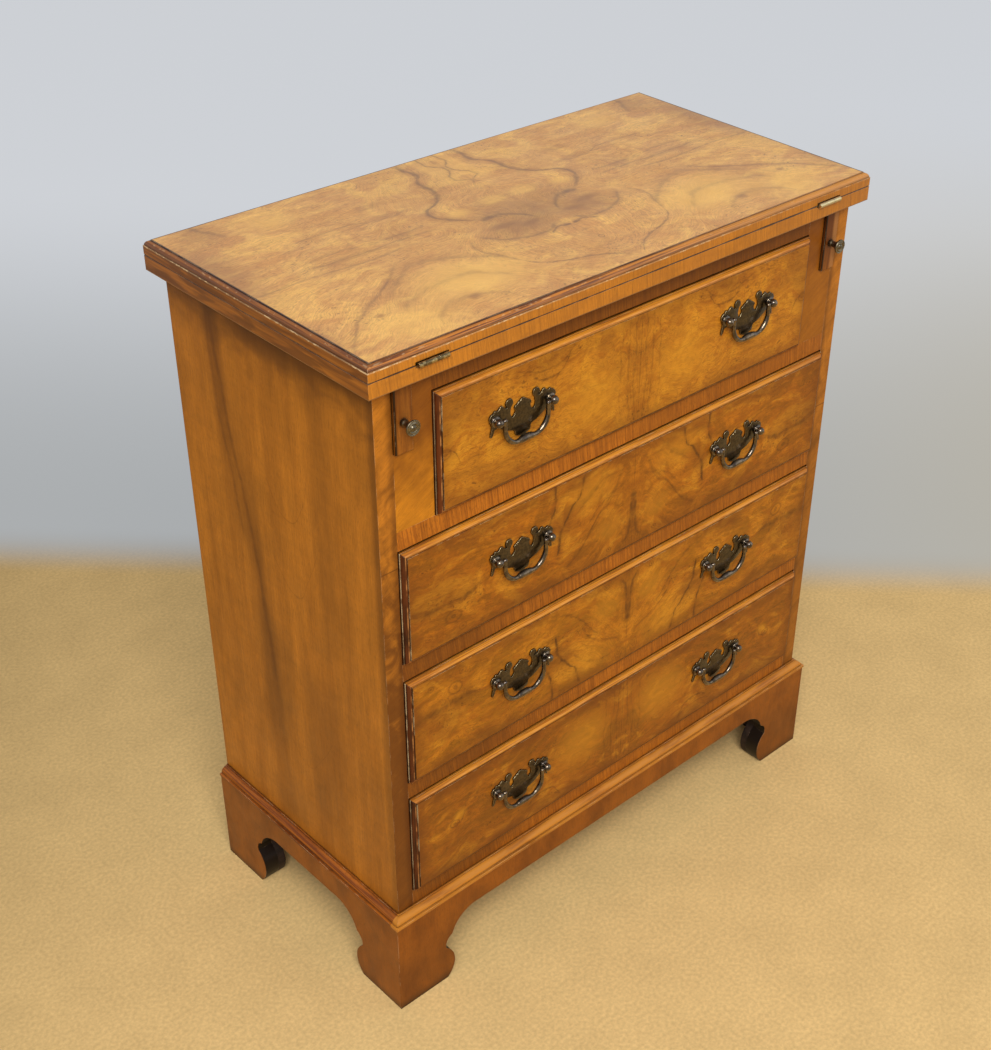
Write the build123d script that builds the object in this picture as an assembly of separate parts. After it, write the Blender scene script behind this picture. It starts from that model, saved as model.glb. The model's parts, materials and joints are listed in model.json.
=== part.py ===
from build123d import *
import math
import os

# Bachelor's chest: a small chest of four drawers on a bracket plinth.
# Its top is two leaves. The upper one folds forward onto two pull-out lopers.
# Millimetres. Z is up, the drawers face -Y and X runs to the right of someone facing them.
# The origin is on the floor, under the middle of the whole outline.

# Carcase
carcase_width = 621.0
carcase_depth = 306.4
side_thick = 19.0
back_thick = 6.0
back_rebate = 10.0
bottom_board_thick = 12.0
rail_depth = 22.0

# Front heights, from the floor up
plinth_height = 117.0
bottom_rail_height = 31.0
drawer_opening_height = 125.2
drawer_rail_height = 19.8
top_rail_height = 22.0
lower_leaf_thick = 15.1
upper_leaf_thick = 14.7
drawer_count = 4

# Top leaves
top_width = 646.4
top_depth = 330.8
top_front_overhang = 13.2
leaf_ledge = 0.8
leaf_ovolo = 4.6
leaf_step = 0.9
leaf_arris = 0.5

# Lopers, their slots, guides and stops
loper_slot_width = 20.0
loper_slot_height = 68.7
loper_facing_width = 23.0
loper_facing_thick = 18.0
loper_bearer_thick = 18.0
loper_side_gap = 0.6
loper_face_gap = 0.3
loper_length = 285.0
loper_proud = 3.0
loper_travel = 225.0
stop_peg_radius = 4.0
stop_peg_reach = 5.0
stop_peg_from_end = 18.0
stop_peg_fit = 0.05
stop_groove_gap = 0.6

# Loper knobs, turned
knob_length = 15.0
knob_rise = 29.5
knob_spigot_radius = 2.5
knob_spigot_length = 12.0
knob_spigot_fit = 0.05
knob_collar_radius = 4.8
knob_neck_radius = 3.2
knob_head_radius = 7.5
knob_ring_radius = 5.2
knob_button_radius = 2.4

# Drawer runners
runner_width = 20.0
runner_thick = 15.0
runner_gap = 0.3

# Drawer fronts and boxes
front_thick = 20.0
front_side_gap = 0.8
front_top_gap = 1.8
front_square = 1.5
front_ledge = 0.9
front_ovolo = 4.2
front_step = 0.8
box_side_thick = 10.0
box_side_length = 265.0
box_side_drop = 8.0
box_back_thick = 10.0
box_back_drop = 6.0
box_bottom_thick = 5.0
box_bottom_rise = 9.0
groove_depth = 5.0
tail_length = 10.0
tail_count = 4

# Pulls: pierced plate, two posts with ball heads, and a swinging bail
pull_offset = 151.3
top_pull_rise = 11.2
pull_rise = 7.8
plate_thick = 1.6
plate_margin = 6.8
plate_height = 44.4
plate_drop = 26.6
post_spacing = 66.0
post_ball_radius = 4.25
post_reach = 4.9
post_collar_radius = 5.0
post_collar_thick = 1.4
post_stem_radius = 2.9
post_bolt_radius = 2.4
post_bolt_fit = 0.1
nut_radius = 5.2
nut_thick = 3.4
nut_fit = 0.05
bolt_end = 1.2
bail_drop = 27.0
bail_radius = 2.1
bail_elbow_radius = 2.5
bail_elbow_gap = 0.35
bail_pin_radius = 1.5
bail_pin_fit = 0.08
bail_bend_radius = 18.0
bail_grip_radius = 3.4
bail_grip_half_length = 15.0

# Hinges on the front edge of the top
hinge_offset = 257.0
hinge_length = 35.0
hinge_knuckle_radius = 3.0
hinge_out = 1.5
hinge_plate_width = 22.0
hinge_plate_thick = 1.2
hinge_gap = 0.3
hinge_pin_radius = 1.25
hinge_pin_fit = 0.05
hinge_screw_radius = 1.4
hinge_screw_head_radius = 2.6
hinge_screw_head_depth = 0.9
hinge_screw_length = 9.0
hinge_screw_fit = 0.05

# Plinth: bracket boards, moulding and inner blocks
plinth_step = 10.0
plinth_thick = 18.0
foot_reach = 109.0
foot_rise = 87.0
moulding_overhang = 1.0
moulding_height = 11.0
moulding_nose = 3.2
moulding_ledge = 2.5
moulding_ovolo = 6.6
back_rail_thick = 12.0
block_size = 25.0
block_lift = 3.0
cleat_size = 20.0
rear_foot_width = 45.0
rear_foot_spread = 70.0

# Fits
overrun = 1.0

# The bracket outline runs from the foot's inner bottom corner to the apron.
# Each point is a share of foot_reach and of foot_rise. A pair of points is an arc's middle and end.
foot_outline_shares = [
    [(0.587, 0.0)],
    [(0.679, 0.250), (0.578, 0.525)],
    [(0.590, 0.645), (0.655, 0.715)],
    [(0.755, 0.905), (1.0, 1.0)],
]

# Right half of the pull plate, from the top of its crown down to the foot of its pendant.
# Each point is a share of the plate's half width and, from its lower end up, of its height.
plate_outline_shares = [
    [(0.0, 0.876)],
    [(0.075, 0.862), (0.131, 0.811)],
    [(0.201, 0.795), (0.246, 0.745)],
    [(0.211, 0.586)],
    [(0.266, 0.536), (0.322, 0.586)],
    [(0.330, 0.770)],
    [(0.303, 0.820), (0.322, 0.900)],
    [(0.392, 1.0), (0.477, 0.905)],
    [(0.508, 0.860)],
    [(0.578, 0.892), (0.653, 0.856)],
    [(0.842, 0.816)],
    [(0.965, 0.765), (1.0, 0.671)],
    [(0.960, 0.545), (0.910, 0.453)],
    [(0.955, 0.318)],
    [(0.869, 0.261), (0.789, 0.315)],
    [(0.716, 0.401)],
    [(0.578, 0.365), (0.427, 0.275)],
    [(0.330, 0.240), (0.262, 0.185)],
    [(0.180, 0.040), (0.0, 0.0)],
]

# Turned outline of a knob, as shares of its length from the loper's face.
knob_collar_share = 0.10
knob_collar_end_share = 0.20
knob_neck_share = 0.46
knob_rim_share = 0.62
knob_rim_end_share = 0.76
knob_ring_share = 0.84
knob_button_share = 0.90

# Widths of a drawer side's dovetails, as shares of their pitch.
tail_root_share = 0.46
tail_end_share = 0.66

# Places of a hinge plate's screws, as shares of the plate's length and width.
hinge_screw_length_shares = [-0.32, 0.0, 0.32]
hinge_screw_width_share = 0.64

# Places worked out from the sizes
front_proud = front_square + front_ovolo + front_step
post_axis_out = front_proud + plate_thick + post_reach
knob_out = loper_proud + knob_length
front_reach = max(
    knob_out - top_front_overhang,
    post_axis_out + post_ball_radius - top_front_overhang,
    hinge_out + hinge_knuckle_radius,
)
top_back = (top_depth + front_reach) / 2
top_front = top_back - top_depth
carcase_front = top_front + top_front_overhang
carcase_back = carcase_front + carcase_depth
inner_back = carcase_back - back_thick
carcase_half = carcase_width / 2
inner_half = carcase_half - side_thick
slot_inner = inner_half - loper_slot_width
facing_inner = slot_inner - loper_facing_width

lowest_opening = plinth_height + bottom_rail_height
drawer_pitch = drawer_opening_height + drawer_rail_height
top_opening = lowest_opening + (drawer_count - 1) * drawer_pitch
carcase_top = top_opening + drawer_opening_height + top_rail_height
slot_bottom = carcase_top - loper_slot_height
leaf_joint = carcase_top + lower_leaf_thick
chest_height = leaf_joint + upper_leaf_thick

plinth_half = carcase_half + plinth_step
plinth_front_y = carcase_front - plinth_step
plinth_inner_half = plinth_half - plinth_thick
plinth_inner_front = plinth_front_y + plinth_thick

front_back_y = carcase_front + front_thick - front_proud
box_back_y = front_back_y + box_side_length
plate_face_y = carcase_front - front_proud - plate_thick
post_axis_y = carcase_front - post_axis_out
hinge_y = top_front - hinge_out

half_turn = 180
quarter_turn = 90
diagonal_share = math.sqrt(0.5)

sides = {"left": -1, "right": 1}


def board(x_low, x_high, y_low, y_high, z_low, z_high):
    """A square-edged board between two corners."""
    centre = Pos((x_low + x_high) / 2, (y_low + y_high) / 2, (z_low + z_high) / 2)
    return centre * Box(x_high - x_low, y_high - y_low, z_high - z_low)


def side_board(hand, x_inner, x_outer, y_low, y_high, z_low, z_high):
    """A board on the left or right, given by its distances from the middle."""
    x_low, x_high = sorted((hand * x_inner, hand * x_outer))
    return board(x_low, x_high, y_low, y_high, z_low, z_high)


def outline(start, steps):
    """A face whose edge runs from start through lines (one point) and arcs (middle and end)."""
    edges = []
    here = start
    for step in steps:
        if step[-1] == here:
            continue
        if len(step) == 1:
            edges.append(Line(here, step[0]))
        else:
            edges.append(ThreePointArc(here, step[0], step[1]))
        here = step[-1]
    if here != start:
        edges.append(Line(here, start))
    return Face(Wire(edges))


def along_x(face, low, high):
    """Extrudes a face drawn in Y and Z along X."""
    return Pos(low, 0, 0) * extrude(Plane.YZ * face, high - low, dir=(1, 0, 0))


def along_y(face, low, high):
    """Extrudes a face drawn in X and Z along Y."""
    return Pos(0, low, 0) * extrude(Plane.XZ * face, high - low, dir=(0, 1, 0))


def along_z(face, low, high):
    """Extrudes a face drawn in X and Y along Z."""
    return Pos(0, 0, low) * extrude(face, high - low, dir=(0, 0, 1))


def rod_x(radius, x_low, x_high, y, z):
    """A round rod along X."""
    centre = Pos((x_low + x_high) / 2, y, z)
    return centre * Rot(0, quarter_turn, 0) * Cylinder(radius, x_high - x_low)


def rod_y(radius, x, y_low, y_high, z):
    """A round rod along Y."""
    centre = Pos(x, (y_low + y_high) / 2, z)
    return centre * Rot(quarter_turn, 0, 0) * Cylinder(radius, y_high - y_low)


def rod_z(radius, x, y, z_low, z_high):
    """A round rod along Z."""
    return Pos(x, y, (z_low + z_high) / 2) * Cylinder(radius, z_high - z_low)


def opening_bottom(number):
    """Height of the bottom of a drawer's opening. Drawer 1 is the top one."""
    return lowest_opening + (drawer_count - number) * drawer_pitch


def opening_half(number):
    """Half the width of a drawer's opening. The top one is narrower, between the lopers."""
    if number == 1:
        return facing_inner
    return inner_half


def moulded_section(half_width, thick, ledge, ovolo, step, arris):
    """Section of a board whose upper face has a thumb moulding at both edges."""
    square = thick - step - ovolo
    field = half_width - ledge - ovolo
    bend = ovolo * diagonal_share
    steps = [
        [(half_width - arris, 0)],
        [(half_width, arris)],
        [(half_width, square)],
        [(half_width - ledge, square)],
        [(field + bend, square + bend), (field, square + ovolo)],
        [(field, thick)],
        [(-field, thick)],
        [(-field, square + ovolo)],
        [(-field - bend, square + bend), (ledge - half_width, square)],
        [(-half_width, square)],
        [(-half_width, arris)],
    ]
    return outline((arris - half_width, 0), steps)


def moulded_board(length, width, thick, ledge, ovolo, step, arris):
    """A flat board, moulded and mitred round its upper face, centred over the origin."""
    lengthwise = along_x(
        moulded_section(width / 2, thick, ledge, ovolo, step, arris), -length / 2, length / 2
    )
    crosswise = along_y(
        moulded_section(length / 2, thick, ledge, ovolo, step, arris), -width / 2, width / 2
    )
    return lengthwise & crosswise


def side_panel(hand):
    """A carcase side with a rebate for the back."""
    panel = side_board(
        hand, inner_half, carcase_half, carcase_front, carcase_back, plinth_height, carcase_top
    )
    rebate = side_board(
        hand,
        inner_half - overrun,
        inner_half + back_rebate,
        inner_back,
        carcase_back + overrun,
        plinth_height - overrun,
        carcase_top + overrun,
    )
    return panel - rebate


def back_panel():
    """The thin back, in its rebates."""
    half = inner_half + back_rebate
    return board(-half, half, inner_back, carcase_back, plinth_height, carcase_top)


def bottom_board():
    """The carcase bottom behind the bottom rail."""
    return board(
        -inner_half,
        inner_half,
        carcase_front + rail_depth,
        inner_back,
        plinth_height,
        plinth_height + bottom_board_thick,
    )


def front_rail(half, z_low, z_high):
    """A rail across the front of the carcase."""
    return board(-half, half, carcase_front, carcase_front + rail_depth, z_low, z_high)


def loper_z_range():
    """Heights of a loper's under and upper edges."""
    return slot_bottom + loper_face_gap, carcase_top - loper_face_gap


def stop_peg_place():
    """Y and Z of a loper's stop peg with the loper pushed in."""
    z_low, z_high = loper_z_range()
    peg_y = carcase_front - loper_proud + loper_length - stop_peg_from_end
    return peg_y, (z_low + z_high) / 2


def loper_divider(hand):
    """The upright board between the top drawer and a loper, grooved for the loper's stop peg."""
    divider = side_board(
        hand,
        facing_inner,
        slot_inner,
        carcase_front + loper_facing_thick,
        inner_back,
        top_opening,
        carcase_top,
    )
    peg_y, peg_z = stop_peg_place()
    half_groove = stop_peg_radius + stop_groove_gap
    groove = side_board(
        hand,
        slot_inner - loper_side_gap - stop_peg_reach,
        slot_inner + overrun,
        peg_y - loper_travel - half_groove,
        peg_y + half_groove,
        peg_z - half_groove,
        peg_z + half_groove,
    )
    return divider - groove


def loper_facing(hand):
    """The front board beside the top drawer, with the loper's slot open at its top."""
    back = carcase_front + loper_facing_thick
    facing = side_board(
        hand, facing_inner, inner_half, carcase_front, back, top_opening, carcase_top
    )
    slot = side_board(
        hand,
        slot_inner,
        inner_half + overrun,
        carcase_front - overrun,
        back + overrun,
        slot_bottom,
        carcase_top + overrun,
    )
    return facing - slot


def runners():
    """Drawer runners at each level and the bearers that the lopers slide on."""
    pieces = []
    for number in range(1, drawer_count + 1):
        top = opening_bottom(number)
        for hand in sides.values():
            pieces.append(
                side_board(
                    hand,
                    opening_half(number) - runner_width,
                    inner_half,
                    carcase_front + rail_depth,
                    inner_back,
                    top - runner_thick,
                    top,
                )
            )
    for hand in sides.values():
        pieces.append(
            side_board(
                hand,
                slot_inner,
                inner_half,
                carcase_front + loper_facing_thick,
                inner_back,
                slot_bottom - loper_bearer_thick,
                slot_bottom,
            )
        )
    return pieces


def loper(hand):
    """A pull-out support bar, bored for its knob and its stop peg."""
    z_low, z_high = loper_z_range()
    front = carcase_front - loper_proud
    bar = side_board(
        hand,
        slot_inner + loper_side_gap,
        inner_half - loper_side_gap,
        front,
        front + loper_length,
        z_low,
        z_high,
    )
    spigot_hole = rod_y(
        knob_spigot_radius + knob_spigot_fit,
        hand * (slot_inner + inner_half) / 2,
        front - overrun,
        front + knob_spigot_length + overrun,
        slot_bottom + knob_rise,
    )
    peg_y, peg_z = stop_peg_place()
    peg_in = slot_inner + loper_side_gap - stop_peg_reach + stop_groove_gap
    peg_out = inner_half - loper_side_gap
    x_low, x_high = sorted((hand * peg_in, hand * peg_out))
    peg = rod_x(stop_peg_radius, x_low, x_high, peg_y, peg_z)
    peg_hole = rod_x(
        stop_peg_radius + stop_peg_fit, x_low - overrun, x_high + overrun, peg_y, peg_z
    )
    return [bar - spigot_hole - peg_hole, peg]


def turned(start, steps, x, y, z):
    """A turned piece on an axis along -Y. Points are a radius and a distance out from y."""
    section = outline(start, steps)
    body = revolve(Plane.YZ * section, Axis.Z, 2 * half_turn)
    return Pos(x, y, z) * Rot(quarter_turn, 0, 0) * body


def loper_knob(hand):
    """A turned metal knob with a spigot into the loper's end."""
    points = [
        (knob_spigot_radius, -knob_spigot_length),
        (knob_spigot_radius, 0),
        (knob_collar_radius, 0),
        (knob_collar_radius, knob_collar_share * knob_length),
        (knob_neck_radius, knob_collar_end_share * knob_length),
        (knob_neck_radius, knob_neck_share * knob_length),
        (knob_head_radius, knob_rim_share * knob_length),
        (knob_head_radius, knob_rim_end_share * knob_length),
        (knob_ring_radius, knob_ring_share * knob_length),
        (knob_ring_radius, knob_button_share * knob_length),
        (knob_button_radius, knob_button_share * knob_length),
        (knob_button_radius, knob_length),
        (0, knob_length),
    ]
    return turned(
        (0, -knob_spigot_length),
        [[point] for point in points],
        hand * (slot_inner + inner_half) / 2,
        carcase_front - loper_proud,
        slot_bottom + knob_rise,
    )


def drawer_box_sizes(number):
    """Half width, bottom, side top and front top of a drawer."""
    bottom = opening_bottom(number) + runner_gap
    front_top = opening_bottom(number) + drawer_opening_height - front_top_gap
    return opening_half(number) - front_side_gap, bottom, front_top - box_side_drop, front_top


def tails(number, hand):
    """The dovetails at the front end of a drawer side."""
    half, bottom, side_top, _ = drawer_box_sizes(number)
    pitch = (side_top - bottom) / tail_count
    x_low, x_high = sorted((hand * (half - box_side_thick), hand * half))
    pieces = []
    for count in range(tail_count):
        middle = bottom + (count + 0.5) * pitch
        root = tail_root_share * pitch / 2
        end = tail_end_share * pitch / 2
        tail = outline(
            (front_back_y, middle - root),
            [
                [(front_back_y - tail_length, middle - end)],
                [(front_back_y - tail_length, middle + end)],
                [(front_back_y, middle + root)],
            ],
        )
        pieces.append(along_x(tail, x_low, x_high))
    return pieces


def pull_places(number):
    """Centres of a drawer's two pulls on their post line, as X and Z."""
    middle = opening_bottom(number) + drawer_opening_height / 2
    rise = top_pull_rise if number == 1 else pull_rise
    return {name: (hand * pull_offset, middle + rise) for name, hand in sides.items()}


def drawer_bottom_board(number):
    """The drawer's thin bottom, in grooves and under its back."""
    half, bottom, _, _ = drawer_box_sizes(number)
    grooved_half = half - box_side_thick + groove_depth
    return board(
        -grooved_half,
        grooved_half,
        front_back_y - groove_depth,
        box_back_y,
        bottom + box_bottom_rise,
        bottom + box_bottom_rise + box_bottom_thick,
    )


def drawer_front(number):
    """A moulded drawer front, socketed for the sides, grooved and bored for the pulls."""
    half, bottom, _, front_top = drawer_box_sizes(number)
    flat = moulded_board(
        2 * half, front_top - bottom, front_thick, front_ledge, front_ovolo, front_step, 0
    )
    front = Pos(0, front_back_y, (front_top + bottom) / 2) * Rot(quarter_turn, 0, 0) * flat
    for hand in sides.values():
        for tail in tails(number, hand):
            front -= tail
    front -= drawer_bottom_board(number)
    for x, z in pull_places(number).values():
        for hand in sides.values():
            front -= rod_y(
                post_bolt_radius + post_bolt_fit,
                x + hand * post_spacing / 2,
                carcase_front - front_proud - overrun,
                front_back_y + overrun,
                z,
            )
    return front


def drawer_side(number, hand):
    """A drawer side, dovetailed at the front and grooved for the bottom."""
    half, bottom, side_top, _ = drawer_box_sizes(number)
    side = side_board(
        hand, half - box_side_thick, half, front_back_y, box_back_y, bottom, side_top
    )
    for tail in tails(number, hand):
        side += tail
    return side - drawer_bottom_board(number)


def drawer_back(number):
    """The drawer back, between the sides and on the bottom board."""
    half, bottom, side_top, _ = drawer_box_sizes(number)
    inner = half - box_side_thick
    return board(
        -inner,
        inner,
        box_back_y - box_back_thick,
        box_back_y,
        bottom + box_bottom_rise + box_bottom_thick,
        side_top - box_back_drop,
    )


def pull_plate(x, z):
    """A pierced bat-wing plate, bored for its two posts."""
    half_width = post_spacing / 2 + plate_margin

    def place(point, hand):
        return (x + hand * point[0] * half_width, z - plate_drop + point[1] * plate_height)

    right = [[place(point, 1) for point in step] for step in plate_outline_shares]
    mirrored = [[place(point, -1) for point in step] for step in plate_outline_shares]
    ends = [step[-1] for step in mirrored]
    left = []
    for index in range(len(mirrored) - 1, 0, -1):
        left.append(mirrored[index][:-1] + [ends[index - 1]])
    left[-1][-1] = right[0][0]
    face = outline(right[0][0], right[1:] + left)
    plate = along_y(face, plate_face_y, plate_face_y + plate_thick)
    for hand in sides.values():
        plate -= rod_y(
            post_bolt_radius + post_bolt_fit,
            x + hand * post_spacing / 2,
            plate_face_y - overrun,
            plate_face_y + plate_thick + overrun,
            z,
        )
    return plate


def pull_post(x, z):
    """A post with a ball head, cross-bored for the bail's pin, and a bolt through the front."""
    bolt_depth = front_back_y + nut_thick + bolt_end - plate_face_y
    neck = post_reach - math.sqrt(post_ball_radius**2 - post_stem_radius**2)
    steps = [
        [(post_bolt_radius, -bolt_depth)],
        [(post_bolt_radius, 0)],
        [(post_collar_radius, 0)],
        [(post_collar_radius, post_collar_thick)],
        [(post_stem_radius, post_collar_thick)],
        [(post_stem_radius, neck)],
        [(post_ball_radius, post_reach), (0, post_reach + post_ball_radius)],
    ]
    post = turned((0, -bolt_depth), steps, x, plate_face_y, z)
    bore = rod_x(
        bail_pin_radius + bail_pin_fit, x - nut_radius, x + nut_radius, post_axis_y, z
    )
    return post - bore


def pull_nut(x, z):
    """A nut on a post's bolt, against the inside of the drawer front."""
    nut = rod_y(nut_radius, x, front_back_y, front_back_y + nut_thick, z)
    return nut - rod_y(
        post_bolt_radius + nut_fit, x, front_back_y - overrun, front_back_y + nut_thick + overrun, z
    )


def pull_mounts(number):
    """Both pulls' plates, posts and nuts."""
    pieces = []
    for x, z in pull_places(number).values():
        pieces.append(pull_plate(x, z))
        for hand in sides.values():
            pieces.append(pull_post(x + hand * post_spacing / 2, z))
            pieces.append(pull_nut(x + hand * post_spacing / 2, z))
    return pieces


def bail_elbow_offset():
    """Distance of a bail's elbows from its middle."""
    return post_spacing / 2 - post_ball_radius - bail_elbow_gap - bail_elbow_radius


def bail(number, name):
    """A swinging bail: two pins, two elbows, bent legs and a swelling grip."""
    x, z = pull_places(number)[name]
    elbow = bail_elbow_offset()
    flat_half = elbow - bail_bend_radius
    bend_top = bail_bend_radius - bail_drop
    bend = bail_bend_radius * diagonal_share
    path = Wire(
        [
            Line((-elbow, 0), (-elbow, bend_top)),
            ThreePointArc(
                (-elbow, bend_top), (-flat_half - bend, bend_top - bend), (-flat_half, -bail_drop)
            ),
            Line((-flat_half, -bail_drop), (flat_half, -bail_drop)),
            ThreePointArc(
                (flat_half, -bail_drop), (flat_half + bend, bend_top - bend), (elbow, bend_top)
            ),
            Line((elbow, bend_top), (elbow, 0)),
        ]
    )
    section = Plane(origin=(-elbow, 0), z_dir=(0, -1, 0)) * Circle(bail_radius)
    body = sweep(section, path=path)
    grip = outline(
        (-bail_grip_half_length, 0),
        [
            [(-bail_grip_half_length, bail_radius)],
            [(0, bail_grip_radius), (bail_grip_half_length, bail_radius)],
            [(bail_grip_half_length, 0)],
        ],
    )
    body += Pos(0, -bail_drop, 0) * revolve(grip, Axis.X, 2 * half_turn)
    for hand in sides.values():
        pin_end = hand * (post_spacing / 2 + post_ball_radius)
        low, high = sorted((hand * elbow, pin_end))
        body += Pos(hand * elbow, 0, 0) * Sphere(bail_elbow_radius)
        body += rod_x(bail_pin_radius, low, high, 0, 0)
    return Pos(x, post_axis_y, z) * Rot(quarter_turn, 0, 0) * body


def hinge_places():
    """Middles of the two hinges along X."""
    return [hand * hinge_offset for hand in sides.values()]


def knuckle_length():
    """Length of one of a hinge's three knuckles."""
    return (hinge_length - 2 * hinge_gap) / 3


def hinge_screws(middle, upward):
    """Places of a hinge plate's screws, on the plate's outer face."""
    places = []
    for share in hinge_screw_length_shares:
        places.append(
            (
                middle + share * hinge_length,
                top_front + hinge_screw_width_share * hinge_plate_width,
                leaf_joint,
                upward,
            )
        )
    return places


def countersunk(place, fit):
    """A countersunk screw, head flush with the joint between the leaves."""
    x, y, z, upward = place
    head = Cone(
        hinge_screw_radius + fit,
        hinge_screw_head_radius + fit,
        hinge_screw_head_depth,
        align=(Align.CENTER, Align.CENTER, Align.MAX),
    )
    shank = Cylinder(
        hinge_screw_radius + fit,
        hinge_screw_length,
        align=(Align.CENTER, Align.CENTER, Align.MAX),
    )
    turn = half_turn if upward > 0 else 0
    return Pos(x, y, z) * Rot(turn, 0, 0) * (head + shank)


def hinge_half(middle, upward):
    """One half of a hinge: two end knuckles below, or one middle knuckle above."""
    half = hinge_length / 2
    inner = knuckle_length() / 2
    z_low, z_high = sorted((leaf_joint, leaf_joint + upward * hinge_plate_thick))
    plate = board(
        middle - half, middle + half, hinge_y, top_front + hinge_plate_width, z_low, z_high
    )
    own = [(middle - inner, middle + inner)]
    cleared = [
        (middle - half - overrun, middle - inner),
        (middle + inner, middle + half + overrun),
    ]
    if upward < 0:
        own = [
            (middle - half, middle - inner - hinge_gap),
            (middle + inner + hinge_gap, middle + half),
        ]
        cleared = [(middle - inner - hinge_gap, middle + inner + hinge_gap)]
    for low, high in cleared:
        plate -= rod_x(hinge_knuckle_radius + hinge_gap, low, high, hinge_y, leaf_joint)
    for low, high in own:
        plate += rod_x(hinge_knuckle_radius, low, high, hinge_y, leaf_joint)
    plate -= rod_x(
        hinge_pin_radius + hinge_pin_fit,
        middle - half - overrun,
        middle + half + overrun,
        hinge_y,
        leaf_joint,
    )
    for place in hinge_screws(middle, upward):
        plate -= countersunk(place, hinge_screw_fit)
    return plate


def hinge_halves(upward):
    """Both hinges' halves with their screws. The pins go with the lower halves."""
    pieces = []
    for middle in hinge_places():
        pieces.append(hinge_half(middle, upward))
        for place in hinge_screws(middle, upward):
            pieces.append(countersunk(place, 0))
        if upward < 0:
            low = middle - hinge_length / 2
            pieces.append(rod_x(hinge_pin_radius, low, low + hinge_length, hinge_y, leaf_joint))
    return pieces


def cut_for_hinges(leaf, upward):
    """Lets the hinges' plates, knuckles and screws into a leaf."""
    for middle in hinge_places():
        half = hinge_length / 2
        z_low, z_high = sorted((leaf_joint, leaf_joint + upward * hinge_plate_thick))
        leaf -= board(
            middle - half,
            middle + half,
            top_front - overrun,
            top_front + hinge_plate_width,
            z_low,
            z_high,
        )
        leaf -= rod_x(
            hinge_knuckle_radius + hinge_gap,
            middle - half - hinge_gap,
            middle + half + hinge_gap,
            hinge_y,
            leaf_joint,
        )
        for place in hinge_screws(middle, upward):
            leaf -= countersunk(place, hinge_screw_fit)
    return leaf


def lower_leaf():
    """The fixed leaf, let in for the hinges."""
    leaf = board(
        -top_width / 2, top_width / 2, top_front, top_back, carcase_top, leaf_joint
    )
    leaf = chamfer(leaf.edges().group_by(Axis.Z)[-1], leaf_arris)
    return cut_for_hinges(leaf, -1)


def upper_leaf():
    """The folding leaf, moulded on all four edges."""
    leaf = moulded_board(
        top_width, top_depth, upper_leaf_thick, leaf_ledge, leaf_ovolo, leaf_step, leaf_arris
    )
    placed = Pos(0, (top_front + top_back) / 2, leaf_joint) * leaf
    return cut_for_hinges(placed, 1)


def bracket_outline(low, high):
    """A plinth board's outline with a bracket foot at each end."""
    first = [(share[0] * foot_reach, share[1] * foot_rise) for share in foot_outline_shares[0]]
    rising = []
    for step in foot_outline_shares[1:]:
        rising.append([(low + x * foot_reach, z * foot_rise) for x, z in step])
    points = [first[0]]
    for step in foot_outline_shares[1:]:
        points.append((step[-1][0] * foot_reach, step[-1][1] * foot_rise))
    falling = []
    for index in range(len(foot_outline_shares) - 1, 0, -1):
        middle = foot_outline_shares[index][0]
        end = points[index - 1]
        falling.append(
            [(high - middle[0] * foot_reach, middle[1] * foot_rise), (high - end[0], end[1])]
        )
    steps = [[(low + first[0][0], 0)]]
    steps += rising
    steps.append([(high - foot_reach, foot_rise)])
    steps += falling
    steps += [[(high, 0)], [(high, plinth_height)], [(low, plinth_height)]]
    return outline((low, 0), steps)


def plan(points, z_low, z_high):
    """A straight-sided shape in plan, extruded upward."""
    return along_z(outline(points[0], [[point] for point in points[1:]]), z_low, z_high)


def front_plan(inner_half_width, inner_y, outer_half_width, outer_y, z_low, z_high):
    """Plan of a front piece with mitred ends."""
    return plan(
        [
            (-outer_half_width, outer_y),
            (outer_half_width, outer_y),
            (inner_half_width, inner_y),
            (-inner_half_width, inner_y),
        ],
        z_low,
        z_high,
    )


def side_plan(hand, inner_half_width, inner_y, outer_half_width, outer_y, z_low, z_high):
    """Plan of a side piece, mitred at the front and square at the back."""
    return plan(
        [
            (hand * outer_half_width, outer_y),
            (hand * outer_half_width, carcase_back),
            (hand * inner_half_width, carcase_back),
            (hand * inner_half_width, inner_y),
        ],
        z_low,
        z_high,
    )


def plinth_front():
    """The front plinth board."""
    shape = along_y(bracket_outline(-plinth_half, plinth_half), plinth_front_y, plinth_inner_front)
    return shape & front_plan(
        plinth_inner_half, plinth_inner_front, plinth_half, plinth_front_y, 0, plinth_height
    )


def plinth_side(hand):
    """A side plinth board."""
    low, high = sorted((hand * plinth_inner_half, hand * plinth_half))
    shape = along_x(bracket_outline(plinth_front_y, carcase_back), low, high)
    return shape & side_plan(
        hand, plinth_inner_half, plinth_inner_front, plinth_half, plinth_front_y, 0, plinth_height
    )


def plinth_back():
    """The straight rail between the side plinth boards at the back."""
    return board(
        -plinth_inner_half,
        plinth_inner_half,
        carcase_back - back_rail_thick,
        carcase_back,
        foot_rise,
        plinth_height,
    )


def moulding_section(base, outward):
    """Section of the plinth moulding, from the carcase face outwards."""
    width = plinth_step + moulding_overhang
    curve_out = width - moulding_ledge
    curve_in = curve_out - moulding_ovolo
    curve_low = plinth_height + moulding_nose
    curve_high = curve_low + moulding_ovolo
    bend = moulding_ovolo * diagonal_share
    top = plinth_height + moulding_height

    def at(out, z):
        return (base + outward * out, z)

    return outline(
        at(0, plinth_height),
        [
            [at(width, plinth_height)],
            [at(width, curve_low)],
            [at(curve_out, curve_low)],
            [at(curve_in + bend, curve_low + bend), at(curve_in, curve_high)],
            [at(curve_in, top)],
            [at(0, top)],
        ],
    )


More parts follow.
